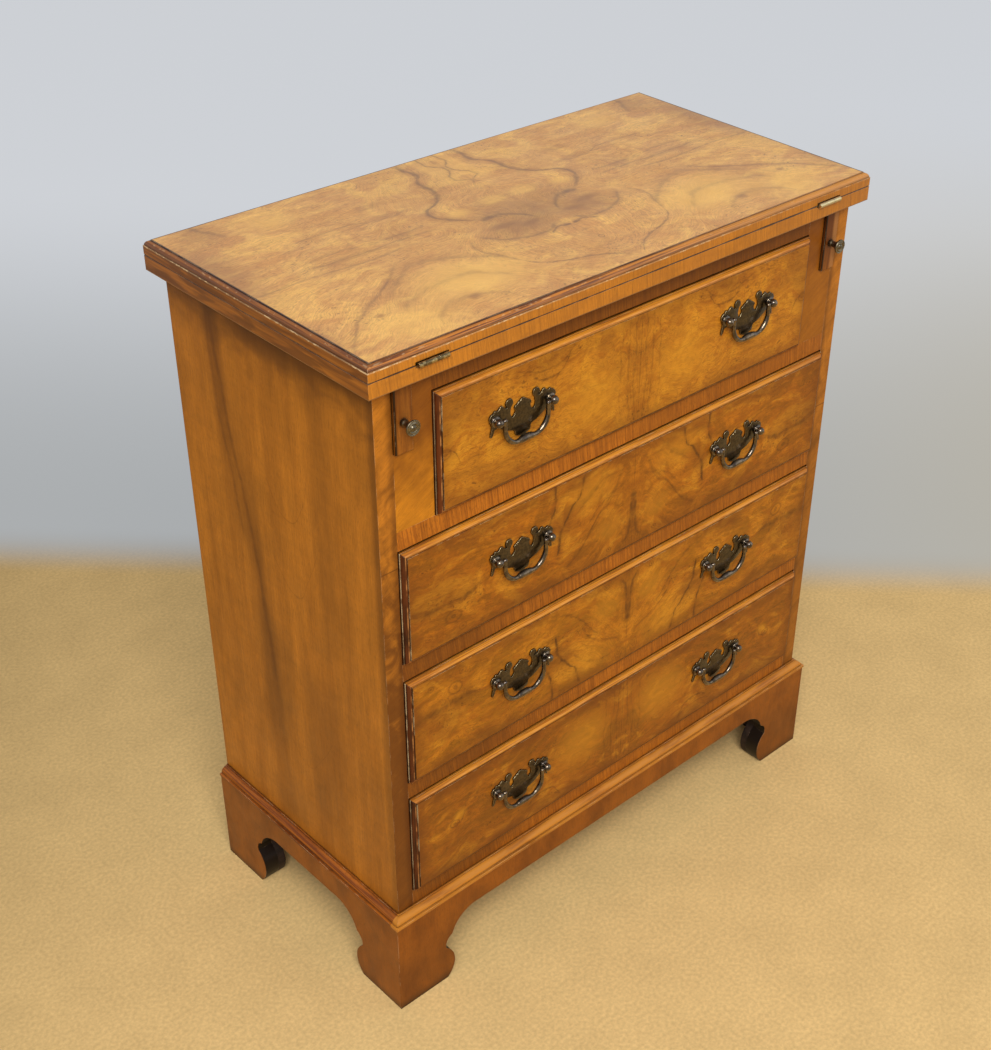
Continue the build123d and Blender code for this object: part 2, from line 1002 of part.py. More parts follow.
def plinth_moulding():
    """The mitred moulding round the front and sides of the carcase foot."""
    width = plinth_step + moulding_overhang
    top = plinth_height + moulding_height
    outer_half = carcase_half + width
    outer_y = carcase_front - width
    pieces = [
        along_x(moulding_section(carcase_front, -1), -outer_half, outer_half)
        & front_plan(carcase_half, carcase_front, outer_half, outer_y, plinth_height, top)
    ]
    for hand in sides.values():
        pieces.append(
            along_y(moulding_section(hand * carcase_half, hand), outer_y, carcase_back)
            & side_plan(
                hand, carcase_half, carcase_front, outer_half, outer_y, plinth_height, top
            )
        )
    return pieces


def plinth_blocks():
    """Glue blocks, cleats and rear foot brackets inside the plinth."""
    block_inner = plinth_inner_half - block_size
    rear_face = carcase_back - back_rail_thick
    pieces = []
    for hand in sides.values():
        for y_low in (plinth_inner_front, rear_face - block_size):
            pieces.append(
                side_board(
                    hand,
                    block_inner,
                    plinth_inner_half,
                    y_low,
                    y_low + block_size,
                    block_lift,
                    plinth_height,
                )
            )
        pieces.append(
            side_board(
                hand,
                plinth_inner_half - cleat_size,
                plinth_inner_half,
                plinth_inner_front + block_size,
                rear_face - block_size,
                plinth_height - cleat_size,
                plinth_height,
            )
        )
        bracket = outline(
            (hand * plinth_inner_half, 0),
            [
                [(hand * (plinth_inner_half - rear_foot_width), 0)],
                [(hand * (plinth_inner_half - rear_foot_spread), foot_rise)],
                [(hand * plinth_inner_half, foot_rise)],
            ],
        )
        pieces.append(along_y(bracket, rear_face, carcase_back))
    pieces.append(
        board(
            -block_inner,
            block_inner,
            plinth_inner_front,
            plinth_inner_front + cleat_size,
            plinth_height - cleat_size,
            plinth_height,
        )
    )
    return pieces


def carcase_nodes():
    """Every fixed piece."""
    nodes = {
        "back_panel": back_panel(),
        "bottom_board": bottom_board(),
        "top_rail": front_rail(facing_inner, carcase_top - top_rail_height, carcase_top),
        "bottom_rail": front_rail(inner_half, plinth_height, lowest_opening),
        "drawer_runners": runners(),
        "lower_leaf": lower_leaf(),
        "hinge_fixed_halves": hinge_halves(-1),
        "plinth_front": plinth_front(),
        "plinth_back": plinth_back(),
        "plinth_moulding": plinth_moulding(),
        "plinth_blocks": plinth_blocks(),
    }
    for number in range(1, drawer_count):
        top = opening_bottom(number)
        nodes[f"drawer_rail_{number}"] = front_rail(inner_half, top - drawer_rail_height, top)
    for name, hand in sides.items():
        nodes[f"side_panel_{name}"] = side_panel(hand)
        nodes[f"loper_divider_{name}"] = loper_divider(hand)
        nodes[f"loper_facing_{name}"] = loper_facing(hand)
        nodes[f"plinth_{name}"] = plinth_side(hand)
    return nodes


def drawer_nodes(number):
    """Every piece of one drawer."""
    stem = f"drawer_{number}"
    nodes = {
        f"{stem}_front": drawer_front(number),
        f"{stem}_back": drawer_back(number),
        f"{stem}_bottom": drawer_bottom_board(number),
        f"{stem}_pull_mounts": pull_mounts(number),
    }
    for name, hand in sides.items():
        nodes[f"{stem}_side_{name}"] = drawer_side(number, hand)
        nodes[f"{stem}_bail_{name}"] = bail(number, name)
    return nodes


def moving_top_nodes():
    """The folding leaf and the lopers that hold it."""
    nodes = {"upper_leaf": upper_leaf(), "hinge_flap_halves": hinge_halves(1)}
    for name, hand in sides.items():
        nodes[f"loper_{name}"] = loper(hand)
        nodes[f"loper_knob_{name}"] = loper_knob(hand)
    return nodes


all_nodes = carcase_nodes()
for drawer_number in range(1, drawer_count + 1):
    all_nodes.update(drawer_nodes(drawer_number))
all_nodes.update(moving_top_nodes())

os.makedirs("parts", exist_ok=True)
for node_name, shape in all_nodes.items():
    solids = []
    for piece in shape if isinstance(shape, list) else [shape]:
        solids.extend(piece.solids())
    node = solids[0] if len(solids) == 1 else Compound(solids)
    node.label = node_name
    export_step(node, f"parts/{node_name}.step")
print("nodes", len(all_nodes), "height", round(chest_height, 2))
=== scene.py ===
"""Bachelors chest in figured walnut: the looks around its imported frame.

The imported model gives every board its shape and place. This script dresses the boards,
makes the cast pulls, the knobs and the panel pins, and sets up a plain pale studio.
Lengths in the classes are millimetres; everything handed to Blender is metres.
"""

from __future__ import annotations

import json
import logging
import math
from collections.abc import Callable, Mapping, Sequence
from dataclasses import dataclass, field
from enum import Enum
from functools import partial

import bmesh
import bpy
from mathutils import Matrix, Vector

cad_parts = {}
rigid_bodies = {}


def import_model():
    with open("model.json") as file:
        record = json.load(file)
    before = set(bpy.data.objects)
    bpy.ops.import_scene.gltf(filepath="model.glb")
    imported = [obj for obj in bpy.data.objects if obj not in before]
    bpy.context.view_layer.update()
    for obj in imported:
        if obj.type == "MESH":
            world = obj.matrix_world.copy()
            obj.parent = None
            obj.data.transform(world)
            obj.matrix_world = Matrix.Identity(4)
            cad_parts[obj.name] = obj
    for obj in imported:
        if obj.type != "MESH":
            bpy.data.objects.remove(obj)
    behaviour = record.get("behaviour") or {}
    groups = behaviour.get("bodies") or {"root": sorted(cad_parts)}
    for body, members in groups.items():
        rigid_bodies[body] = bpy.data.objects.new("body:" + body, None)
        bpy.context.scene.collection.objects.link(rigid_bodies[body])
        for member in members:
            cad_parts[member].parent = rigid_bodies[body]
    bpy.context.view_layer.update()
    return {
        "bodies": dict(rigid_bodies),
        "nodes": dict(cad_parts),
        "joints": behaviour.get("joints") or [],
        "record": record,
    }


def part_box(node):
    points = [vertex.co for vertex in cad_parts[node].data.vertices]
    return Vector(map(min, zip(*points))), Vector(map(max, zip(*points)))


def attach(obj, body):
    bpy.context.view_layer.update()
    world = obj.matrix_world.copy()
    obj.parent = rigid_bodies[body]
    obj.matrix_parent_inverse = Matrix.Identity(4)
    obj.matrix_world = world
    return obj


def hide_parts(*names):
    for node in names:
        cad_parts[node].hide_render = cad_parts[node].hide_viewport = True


log = logging.getLogger("bachelors_chest")

MM = 0.001
CLOUDY = (0.3, 0.7)  # where a cloudy pattern's low and high places lie

Socket = bpy.types.NodeSocket
Put = Callable[..., Socket]
Pair = tuple[float, float]
Triple = tuple[float, float, float]
Spot = tuple[Socket, Socket, Socket]


class Kind(Enum):
    """Kinds of node: the type's own name, with the setting that makes this kind of it."""

    BACKGROUND = ("ShaderNodeBackground",)
    BEVEL = ("ShaderNodeBevel",)
    BUMP = ("ShaderNodeBump",)
    COMBINE = ("ShaderNodeCombineXYZ",)
    COORDS = ("ShaderNodeTexCoord",)
    CURVE = ("ShaderNodeFloatCurve",)
    DIFFUSE = ("ShaderNodeBsdfDiffuse",)
    EMISSION = ("ShaderNodeEmission",)
    GEOMETRY = ("ShaderNodeNewGeometry",)
    LIGHT_PATH = ("ShaderNodeLightPath",)
    MIX_SHADER = ("ShaderNodeMixShader",)
    OCCLUSION = ("ShaderNodeAmbientOcclusion",)
    OUTPUT = ("ShaderNodeOutputMaterial",)
    PRINCIPLED = ("ShaderNodeBsdfPrincipled",)
    SEPARATE = ("ShaderNodeSeparateXYZ",)
    WORLD = ("ShaderNodeOutputWorld",)
    ABS = ("ShaderNodeMath", "operation", "ABSOLUTE")
    ADD = ("ShaderNodeMath", "operation", "ADD")
    COSINE = ("ShaderNodeMath", "operation", "COSINE")
    DIV = ("ShaderNodeMath", "operation", "DIVIDE")
    FLOOR = ("ShaderNodeMath", "operation", "FLOOR")
    FRACT = ("ShaderNodeMath", "operation", "FRACT")
    LESS = ("ShaderNodeMath", "operation", "LESS_THAN")
    MAX = ("ShaderNodeMath", "operation", "MAXIMUM")
    MORE = ("ShaderNodeMath", "operation", "GREATER_THAN")
    MUL = ("ShaderNodeMath", "operation", "MULTIPLY")
    MUL_ADD = ("ShaderNodeMath", "operation", "MULTIPLY_ADD")
    SINE = ("ShaderNodeMath", "operation", "SINE")
    SUB = ("ShaderNodeMath", "operation", "SUBTRACT")
    DOT = ("ShaderNodeVectorMath", "operation", "DOT_PRODUCT")
    LENGTH = ("ShaderNodeVectorMath", "operation", "LENGTH")
    OFFSET = ("ShaderNodeVectorMath", "operation", "SUBTRACT")
    SCALE = ("ShaderNodeVectorMath", "operation", "SCALE")
    STRETCH = ("ShaderNodeVectorMath", "operation", "MULTIPLY")
    BLEND = ("ShaderNodeMix", "data_type", "RGBA")
    BLEND_VALUE = ("ShaderNodeMix", "data_type", "FLOAT")
    RAMP = ("ShaderNodeMapRange", "interpolation_type", "LINEAR")
    SMOOTH = ("ShaderNodeMapRange", "interpolation_type", "SMOOTHSTEP")
    CELLS = ("ShaderNodeTexVoronoi", "voronoi_dimensions", "3D")
    NOISE = ("ShaderNodeTexNoise", "noise_dimensions", "3D")
    NOISE_1D = ("ShaderNodeTexNoise", "noise_dimensions", "1D")
    WHITE = ("ShaderNodeTexWhiteNoise", "noise_dimensions", "1D")
    CIRCLE = ("GeometryNodeCurvePrimitiveCircle", "mode", "RADIUS")
    EVEN_POINTS = ("GeometryNodeResampleCurve", "mode", "COUNT")
    FOLLOW = ("GeometryNodeCurveToMesh",)
    GROUP_IN = ("NodeGroupInput",)
    GROUP_OUT = ("NodeGroupOutput",)
    RANDOM = ("FunctionNodeRandomValue", "data_type", "FLOAT")
    REALIZE = ("GeometryNodeRealizeInstances",)
    REPEAT = ("GeometryNodeInstanceOnPoints",)
    ROW = ("GeometryNodeMeshLine", "mode", "OFFSET")
    SET_MATERIAL = ("GeometryNodeSetMaterial",)
    SHADE_SMOOTH = ("GeometryNodeSetShadeSmooth", "domain", "FACE")
    SPLINE = ("GeometryNodeSplineParameter",)
    TO_CURVE = ("GeometryNodeMeshToCurve",)


def add_node(tree: bpy.types.NodeTree, kind: Kind, *inputs: object, **settings: object) -> Socket:
    """Adds one node with its settings, values and links.

    Args:
        tree: The tree that the node joins.
        kind: The kind of node.
        inputs: Values or sockets, in the order of the live inputs, or one mapping of them by name.
        settings: Other settings of the node.

    Returns:
        The node's first live output, or its first input where it has no output.
    """
    kind_name, *choice = kind.value
    node = tree.nodes.new(kind_name)
    if choice:
        setattr(node, *choice)
    for name, value in settings.items():
        setattr(node, name, value)
    live = [socket for socket in node.inputs if socket.enabled]
    named = {socket.name: socket for socket in reversed(live)}
    by_name = bool(inputs) and isinstance(inputs[0], Mapping)
    for key, value in inputs[0].items() if by_name else enumerate(inputs):
        socket = named[key] if by_name else live[key]
        if isinstance(value, bpy.types.NodeSocket):
            tree.links.new(value, socket)
        elif value is not None:
            socket.default_value = value
    outputs = [socket for socket in node.outputs if socket.enabled]
    return outputs[0] if outputs else live[0]


def linear(code: str) -> tuple[float, float, float, float]:
    """Turns an sRGB hex colour such as "#8a5a2b" into linear light.

    Args:
        code: The colour, with or without its hash.

    Returns:
        Red, green, blue and an alpha of 1.
    """
    digits = code.lstrip("#")
    shares = [int(digits[place : place + 2], 16) / 255 for place in (0, 2, 4)]
    light = [s / 12.92 if s <= 0.04045 else ((s + 0.055) / 1.055) ** 2.4 for s in shares]
    return (light[0], light[1], light[2], 1.0)


def adder(tree: bpy.types.NodeTree) -> Put:
    """Gives add_node with its tree filled in."""
    return partial(add_node, tree)


def new_material(name: str) -> tuple[bpy.types.Material, Put]:
    """Makes an empty node material.

    Args:
        name: The finish's name.

    Returns:
        The material and the call that adds nodes to its tree.
    """
    material = bpy.data.materials.new(name)
    material.use_nodes = True
    material.node_tree.nodes.clear()
    return material, adder(material.node_tree)


def place(put: Put) -> Spot:
    """Gives the point on the piece in millimetres.

    Args:
        put: Adds a node.

    Returns:
        Its distance to the right, to the back and up.
    """
    coords = put(Kind.COORDS).node.outputs["Object"]
    scaled = put(Kind.SCALE, {"Vector": coords, "Scale": 1 / MM})
    parts = put(Kind.SEPARATE, scaled).node.outputs
    return parts[0], parts[1], parts[2]


def facing(put: Put) -> Spot:
    """Gives how squarely a face looks along each direction.

    Args:
        put: Adds a node.

    Returns:
        The surface's own direction to the right, to the back and up, from -1 to 1.
    """
    normal = put(Kind.GEOMETRY).node.outputs["Normal"]
    parts = put(Kind.SEPARATE, normal).node.outputs
    return parts[0], parts[1], parts[2]


def drawn_line(put: Put, value: Socket, points: Sequence[Pair]) -> Socket:
    """Draws a smooth curve through given points.

    Args:
        put: Adds a node.
        value: What the curve is read at.
        points: Pairs of that value and the curve's height, in rising order of the value.

    Returns:
        The curve's height at the value.
    """
    start, end = points[0][0], points[-1][0]
    low = min(height for _, height in points)
    high = max(height for _, height in points)
    share = put(Kind.RAMP, value, start, end, 0.0, 1.0)
    curve = put(Kind.CURVE, {"Factor": 1.0, "Value": share})
    drawn = curve.node.mapping.curves[0].points
    while len(drawn) < len(points):
        drawn.new(0.5, 0.5)
    for dot, (at, height) in zip(drawn, points):
        dot.location = ((at - start) / (end - start), (height - low) / (high - low))
        dot.handle_type = "AUTO_CLAMPED"
    curve.node.mapping.update()
    return put(Kind.RAMP, curve, 0.0, 1.0, low, high)


def lumps(put: Put, point: Socket, sizes: Triple, detail: float = 2.0, curl: float = 0.0) -> Socket:
    """Reads a cloudy pattern whose lumps have these sizes.

    Args:
        put: Adds a node.
        point: The place, in millimetres.
        sizes: A lump's size in each direction, in millimetres.
        detail: How many finer layers are added.
        curl: How far the pattern is bent by itself.

    Returns:
        A value about 0.5.
    """
    scaled = put(Kind.STRETCH, point, tuple(1 / size for size in sizes))
    levels = {"Scale": 1.0, "Detail": detail, "Roughness": 0.55, "Distortion": curl}
    return put(Kind.NOISE, {"Vector": scaled, **levels})


def softened(put: Put, radius: float) -> tuple[Socket, Socket]:
    """Rounds the arrises of a piece to the eye, and finds where they are.

    Args:
        put: Adds a node.
        radius: How far from the arris the rounding reaches, in millimetres.

    Returns:
        The rounded surface's direction, and 0 on a face to 1 on an arris.
    """
    soft = put(Kind.BEVEL, {"Radius": radius * MM}, samples=6)
    normal = put(Kind.GEOMETRY).node.outputs["Normal"]
    square = put(Kind.DOT, soft, normal).node.outputs["Value"]
    return soft, put(Kind.SMOOTH, square, 0.99, 0.86, 0.0, 1.0)


def hollow(put: Put, reach: float, bare: float = 0.75, full: float = 0.3) -> Socket:
    """Finds the inner corners of a piece and where it meets others.

    Args:
        put: Adds a node.
        reach: How far a corner's walls are felt, in millimetres.
        bare: The open share at which the corner begins to count.
        full: The open share at which it counts fully.

    Returns:
        1 in a corner, 0 in the open.
    """
    open_share = put(Kind.OCCLUSION, {"Distance": reach * MM}, samples=6).node.outputs["AO"]
    return put(Kind.SMOOTH, open_share, bare, full, 0.0, 1.0)


def stained(
    put: Put,
    colour: Socket,
    tint: str,
    value: Socket,
    start: float,
    end: float,
    most: float,
    within: Socket | None = None,
) -> Socket:
    """Lays a tint over a colour, more and more as a value runs from its start to its end.

    Args:
        put: Adds a node.
        colour: The colour below.
        tint: The tint, in hex.
        value: What decides how much of the tint shows.
        start: The value at which the tint begins to show.
        end: The value at which it shows most.
        most: Its greatest share.
        within: A share from 0 to 1 that limits it, such as one face.

    Returns:
        The tinted colour.
    """
    share = put(Kind.SMOOTH, value, start, end, 0.0, most)
    if within is not None:
        share = put(Kind.MUL, share, within)
    return put(Kind.BLEND, share, colour, linear(tint))


def shaded(put: Put, colour: Socket, pattern: Socket, low: float, high: float) -> Socket:
    """Makes a colour darker and lighter with a cloudy pattern.

    Args:
        put: Adds a node.
        colour: The colour.
        pattern: A value about 0.5.
        low: What the colour is multiplied by where the pattern is low.
        high: The same where it is high.

    Returns:
        The shaded colour.
    """
    shade = put(Kind.RAMP, pattern, *CLOUDY, low, high)
    return put(Kind.SCALE, {"Vector": colour, "Scale": shade})


def away(put: Put, value: Socket, middle: float | Socket) -> Socket:
    """Gives how far a value is from a middle, on either side."""
    return put(Kind.ABS, put(Kind.SUB, value, middle))


@dataclass(frozen=True)
class Gloss:
    """A rubbed polish: how satin the film is and how much clear coat lies on it."""

    roughness: float = 0.4
    spread: float = 0.12
    coat: float = 0.04
    coat_roughness: float = 0.14
    relief: float = 0.06
    shine: float = 0.24

    def lay(self, put: Put, colour: Socket, height: Socket, point: Socket, soft: Socket) -> None:
        """Ends a wood's tree in its polished surface.

        Args:
            put: Adds a node.
            colour: The wood's colour.
            height: The wood's relief.
            point: The place, in millimetres.
            soft: The direction of the surface with its arrises rounded.
        """
        patchy = lumps(put, point, (38.0, 38.0, 38.0), 3.0)
        low, high = self.roughness - self.spread / 2, self.roughness + self.spread / 2
        relief = {"Strength": self.relief, "Distance": 0.3 * MM, "Height": height, "Normal": soft}
        film = {
            "Base Color": colour,
            "Roughness": put(Kind.RAMP, patchy, *CLOUDY, low, high),
            "Normal": put(Kind.BUMP, relief),
            "IOR": 1.5,
            "Specular IOR Level": self.shine,
            "Coat Weight": self.coat,
            "Coat Roughness": self.coat_roughness,
        }
        put(Kind.OUTPUT, {"Surface": put(Kind.PRINCIPLED, film)})


@dataclass(frozen=True)
class Ageing:
    """What years of use do to a polished edge: rubbed arrises, and corners and hollows painted dark,
    partly as old wax and partly as painted shade.
    """

    rub: str = "#d8b48a"
    # The dark laid into corners and hollows: old wax, and painted shade.
    dirt: str = "#1a0b04"
    arris: float = 0.6
    wear: float = 0.5
    quirk: float = 0.88
    grime: float = 0.35
    close: float = 3.6
    wide: float = 13.0

    def lay(self, put: Put, colour: Socket, point: Socket) -> tuple[Socket, Socket]:
        """Ages a colour, and paints shade into its corners and hollows.

        Args:
            put: Adds a node.
            colour: The finish's colour.
            point: The place, in millimetres.

        Returns:
            The aged colour, and the direction of the surface with its arrises rounded.
        """
        soft, arris = softened(put, self.arris)
        corner = hollow(put, self.close, 0.82, 0.46)
        standing = put(Kind.SUB, arris, corner, use_clamp=True)
        patches = lumps(put, point, (15.0, 15.0, 15.0), 4.0)
        colour = stained(put, colour, self.rub, patches, 0.46, 0.58, self.wear, standing)
        # Painted shade with old wax: wide hollows and close corners are darkened.
        for share, most in ((hollow(put, self.wide), self.grime), (corner, self.quirk)):
            colour = put(Kind.BLEND, put(Kind.MUL, share, most), colour, linear(self.dirt))
        return colour, soft


@dataclass(frozen=True)
class Timber:
    """Walnut or another wood: its colours, and the real sizes of its grain in millimetres."""

    light: str
    dark: str
    pore: str = "#3a2412"
    band_width: float = 9.0
    band_length: float = 160.0
    fibre: float = 0.1
    pores: float = 0.3
    contrast: Pair = (0.36, 0.64)

    def colour(self, put: Put, point: Socket) -> tuple[Socket, Socket]:
        """Draws growth bands, fibres and open pores.

        Args:
            put: Adds a node.
            point: The place in the wood: along the grain, across it and through it.

        Returns:
            The colour and the height of the surface.
        """
        bands = lumps(put, point, (self.band_length, self.band_width, self.band_width), 4.0, 0.3)
        tone = put(Kind.SMOOTH, bands, *self.contrast, 0.0, 1.0)
        colour = put(Kind.BLEND, tone, linear(self.light), linear(self.dark))
        return self.fibres(put, colour, point)

    def fibres(self, put: Put, colour: Socket, point: Socket) -> tuple[Socket, Socket]:
        """Draws the fibres and the open pores over a colour.

        Args:
            put: Adds a node.
            colour: The wood's colour without them.
            point: The place in the wood: along the grain, across it and through it.

        Returns:
            The colour and the height of the surface.
        """
        fibres = lumps(put, point, (34.0, 1.1, 1.1), 2.0)
        colour = shaded(put, colour, fibres, 1 - self.fibre, 1 + self.fibre)
        grooves = lumps(put, point, (5.0, 0.45, 0.45), 0.0)
        open_pores = put(Kind.SMOOTH, grooves, 0.62, 0.72, 0.0, 1.0)
        hidden = put(Kind.MUL, open_pores, self.pores)
        colour = put(Kind.BLEND, hidden, colour, linear(self.pore))
        return colour, put(Kind.SUB, fibres, open_pores)


@dataclass(frozen=True)
class Vein:
    """A dark thread in the figure. Its points pair a height with a distance from the match, in
    millimetres, or the other way round where it lies flat."""

    points: tuple[Pair, ...]
    width: float = 1.6
    strength: float = 0.6
    flat: bool = False
    halo: float = 0.4


@dataclass(frozen=True)
class Cloud:
    """A smoky or a pale pool in the figure, an oval with a soft rim."""

    centre: Pair
    reach: Pair
    strength: float = 0.5
    pale: bool = False


@dataclass(frozen=True)
class Eye:
    """A burr eye: fine rings round a small knot."""

    centre: Pair
    radius: float
    strength: float = 0.5


@dataclass(frozen=True)
class Marks:
    """The marks of one leaf of veneer. Steady is how little its veins break up,
    ragged how far their rims stray in millimetres, and bold how wide they are drawn."""

    clouds: tuple[Cloud, ...] = ()
    eyes: tuple[Eye, ...] = ()
    veins: tuple[Vein, ...] = ()
    steady: float = 0.35
    ragged: float = 5.0
    bold: float = 1.0
    halo_width: float = 4.5

    def draw(
        self, put: Put, colour: Socket, out: Socket, up: Socket, thread: str, smoke: str, pale: str
    ) -> Socket:
        """Draws the marks over a colour.

        Args:
            put: Adds a node.
            colour: The veneer's colour.
            out: The distance from the joint.
            up: The height above the leaf's foot.
            thread: The colour of a vein, in hex.
            smoke: The colour of a dark cloud, in hex.
            pale: The colour of a pale pool, in hex.

        Returns:
            The colour with the marks in it.
        """
        flat = put(Kind.COMBINE, out, up, 0.0)
        for cloud in self.clouds:
            spread = self.from_middle(put, flat, cloud.centre, cloud.reach)
            tint = pale if cloud.pale else smoke
            colour = stained(put, colour, tint, spread, 1.0, 0.15, cloud.strength)
        for eye in self.eyes:
            spread = self.from_middle(put, flat, eye.centre, (eye.radius, eye.radius * 0.8))
            rings = put(Kind.SINE, put(Kind.MUL, spread, 15.0))
            drawn = put(Kind.SMOOTH, rings, -0.1, 0.9, 0.0, 1.0)
            colour = stained(put, colour, thread, spread, 1.0, 0.3, eye.strength, drawn)
        patches = lumps(put, flat, (15.0, 15.0, 15.0), 3.0)
        broken = put(Kind.SMOOTH, patches, 0.36, 0.58, self.steady, 1.0)
        coarse = ((2.6, 11.0, 5.0), (11.0, 2.6, 5.0))
        rough = [put(Kind.SUB, lumps(put, flat, sizes, 3.0), 0.5) for sizes in coarse]
        for vein in self.veins:
            read, aim = (out, up) if vein.flat else (up, out)
            gap = away(put, aim, drawn_line(put, read, vein.points))
            gap = put(Kind.MUL_ADD, rough[vein.flat], self.ragged, gap)
            start, end = vein.points[0][0], vein.points[-1][0]
            fade = (end - start) * 0.1
            begun = put(Kind.SMOOTH, read, start, start + fade, 0.0, 1.0)
            ended = put(Kind.SMOOTH, read, end, end - fade, 0.0, 1.0)
            within = put(Kind.MUL, begun, put(Kind.MUL, ended, broken))
            wide, narrow = vein.width * self.halo_width, vein.width * self.bold
            colour = stained(put, colour, smoke, gap, wide, 0.0, vein.strength * vein.halo, within)
            colour = stained(put, colour, thread, gap, narrow, 0.0, vein.strength, within)
        return colour

    def from_middle(self, put: Put, flat: Socket, centre: Pair, reach: Pair) -> Socket:
        """Gives a point's distance from an oval's middle, 1 on its rim."""
        moved = put(Kind.OFFSET, flat, (*centre, 0.0))
        scaled = put(Kind.STRETCH, moved, (1 / reach[0], 1 / reach[1], 0.0))
        return put(Kind.LENGTH, scaled).node.outputs["Value"]


@dataclass(frozen=True)
class Figure:
    """One leaf of burr veneer, seen from the joint outwards and from its foot up. Its fibres
    follow waist near the joint and lift further out."""

    lift: tuple[Pair, ...]
    marks: Marks
    lift_weight: tuple[Pair, ...] = ((0.0, 1.0), (400.0, 0.999))
    waist: tuple[Pair, ...] = ((0.0, 0.0), (400.0, 0.01))
    heart: Pair = (4.0, 60.0)


class Lie(Enum):
    """Which way a veneered panel lies."""

    STANDING = 0
    FLAT = 1


@dataclass(frozen=True)
class Panel:
    """Where a veneered panel lies: its foot, its height, its half width and its moulded edge."""

    foot: float
    height: float
    half: float
    edge: float
    lie: Lie = Lie.STANDING
    turned: bool = False

    def up(self, spot: Spot) -> Socket:
        """Gives the direction in which the panel is high."""
        return spot[1] if self.lie is Lie.FLAT else spot[2]

    def border(self, put: Put, spot: Spot) -> Spot:
        """Measures how far out in the moulded edge a point is.

        Args:
            put: Adds a node.
            spot: The place to the right, to the back and up.

        Returns:
            How far it is past the field at the ends and along the length, and its height above
            the panel's middle.
        """
        middle = put(Kind.SUB, self.up(spot), self.foot + self.height / 2)
        end_out = put(Kind.SUB, put(Kind.ABS, spot[0]), self.half - self.edge)
        long_out = put(Kind.SUB, put(Kind.ABS, middle), self.height / 2 - self.edge)
        return end_out, long_out, middle


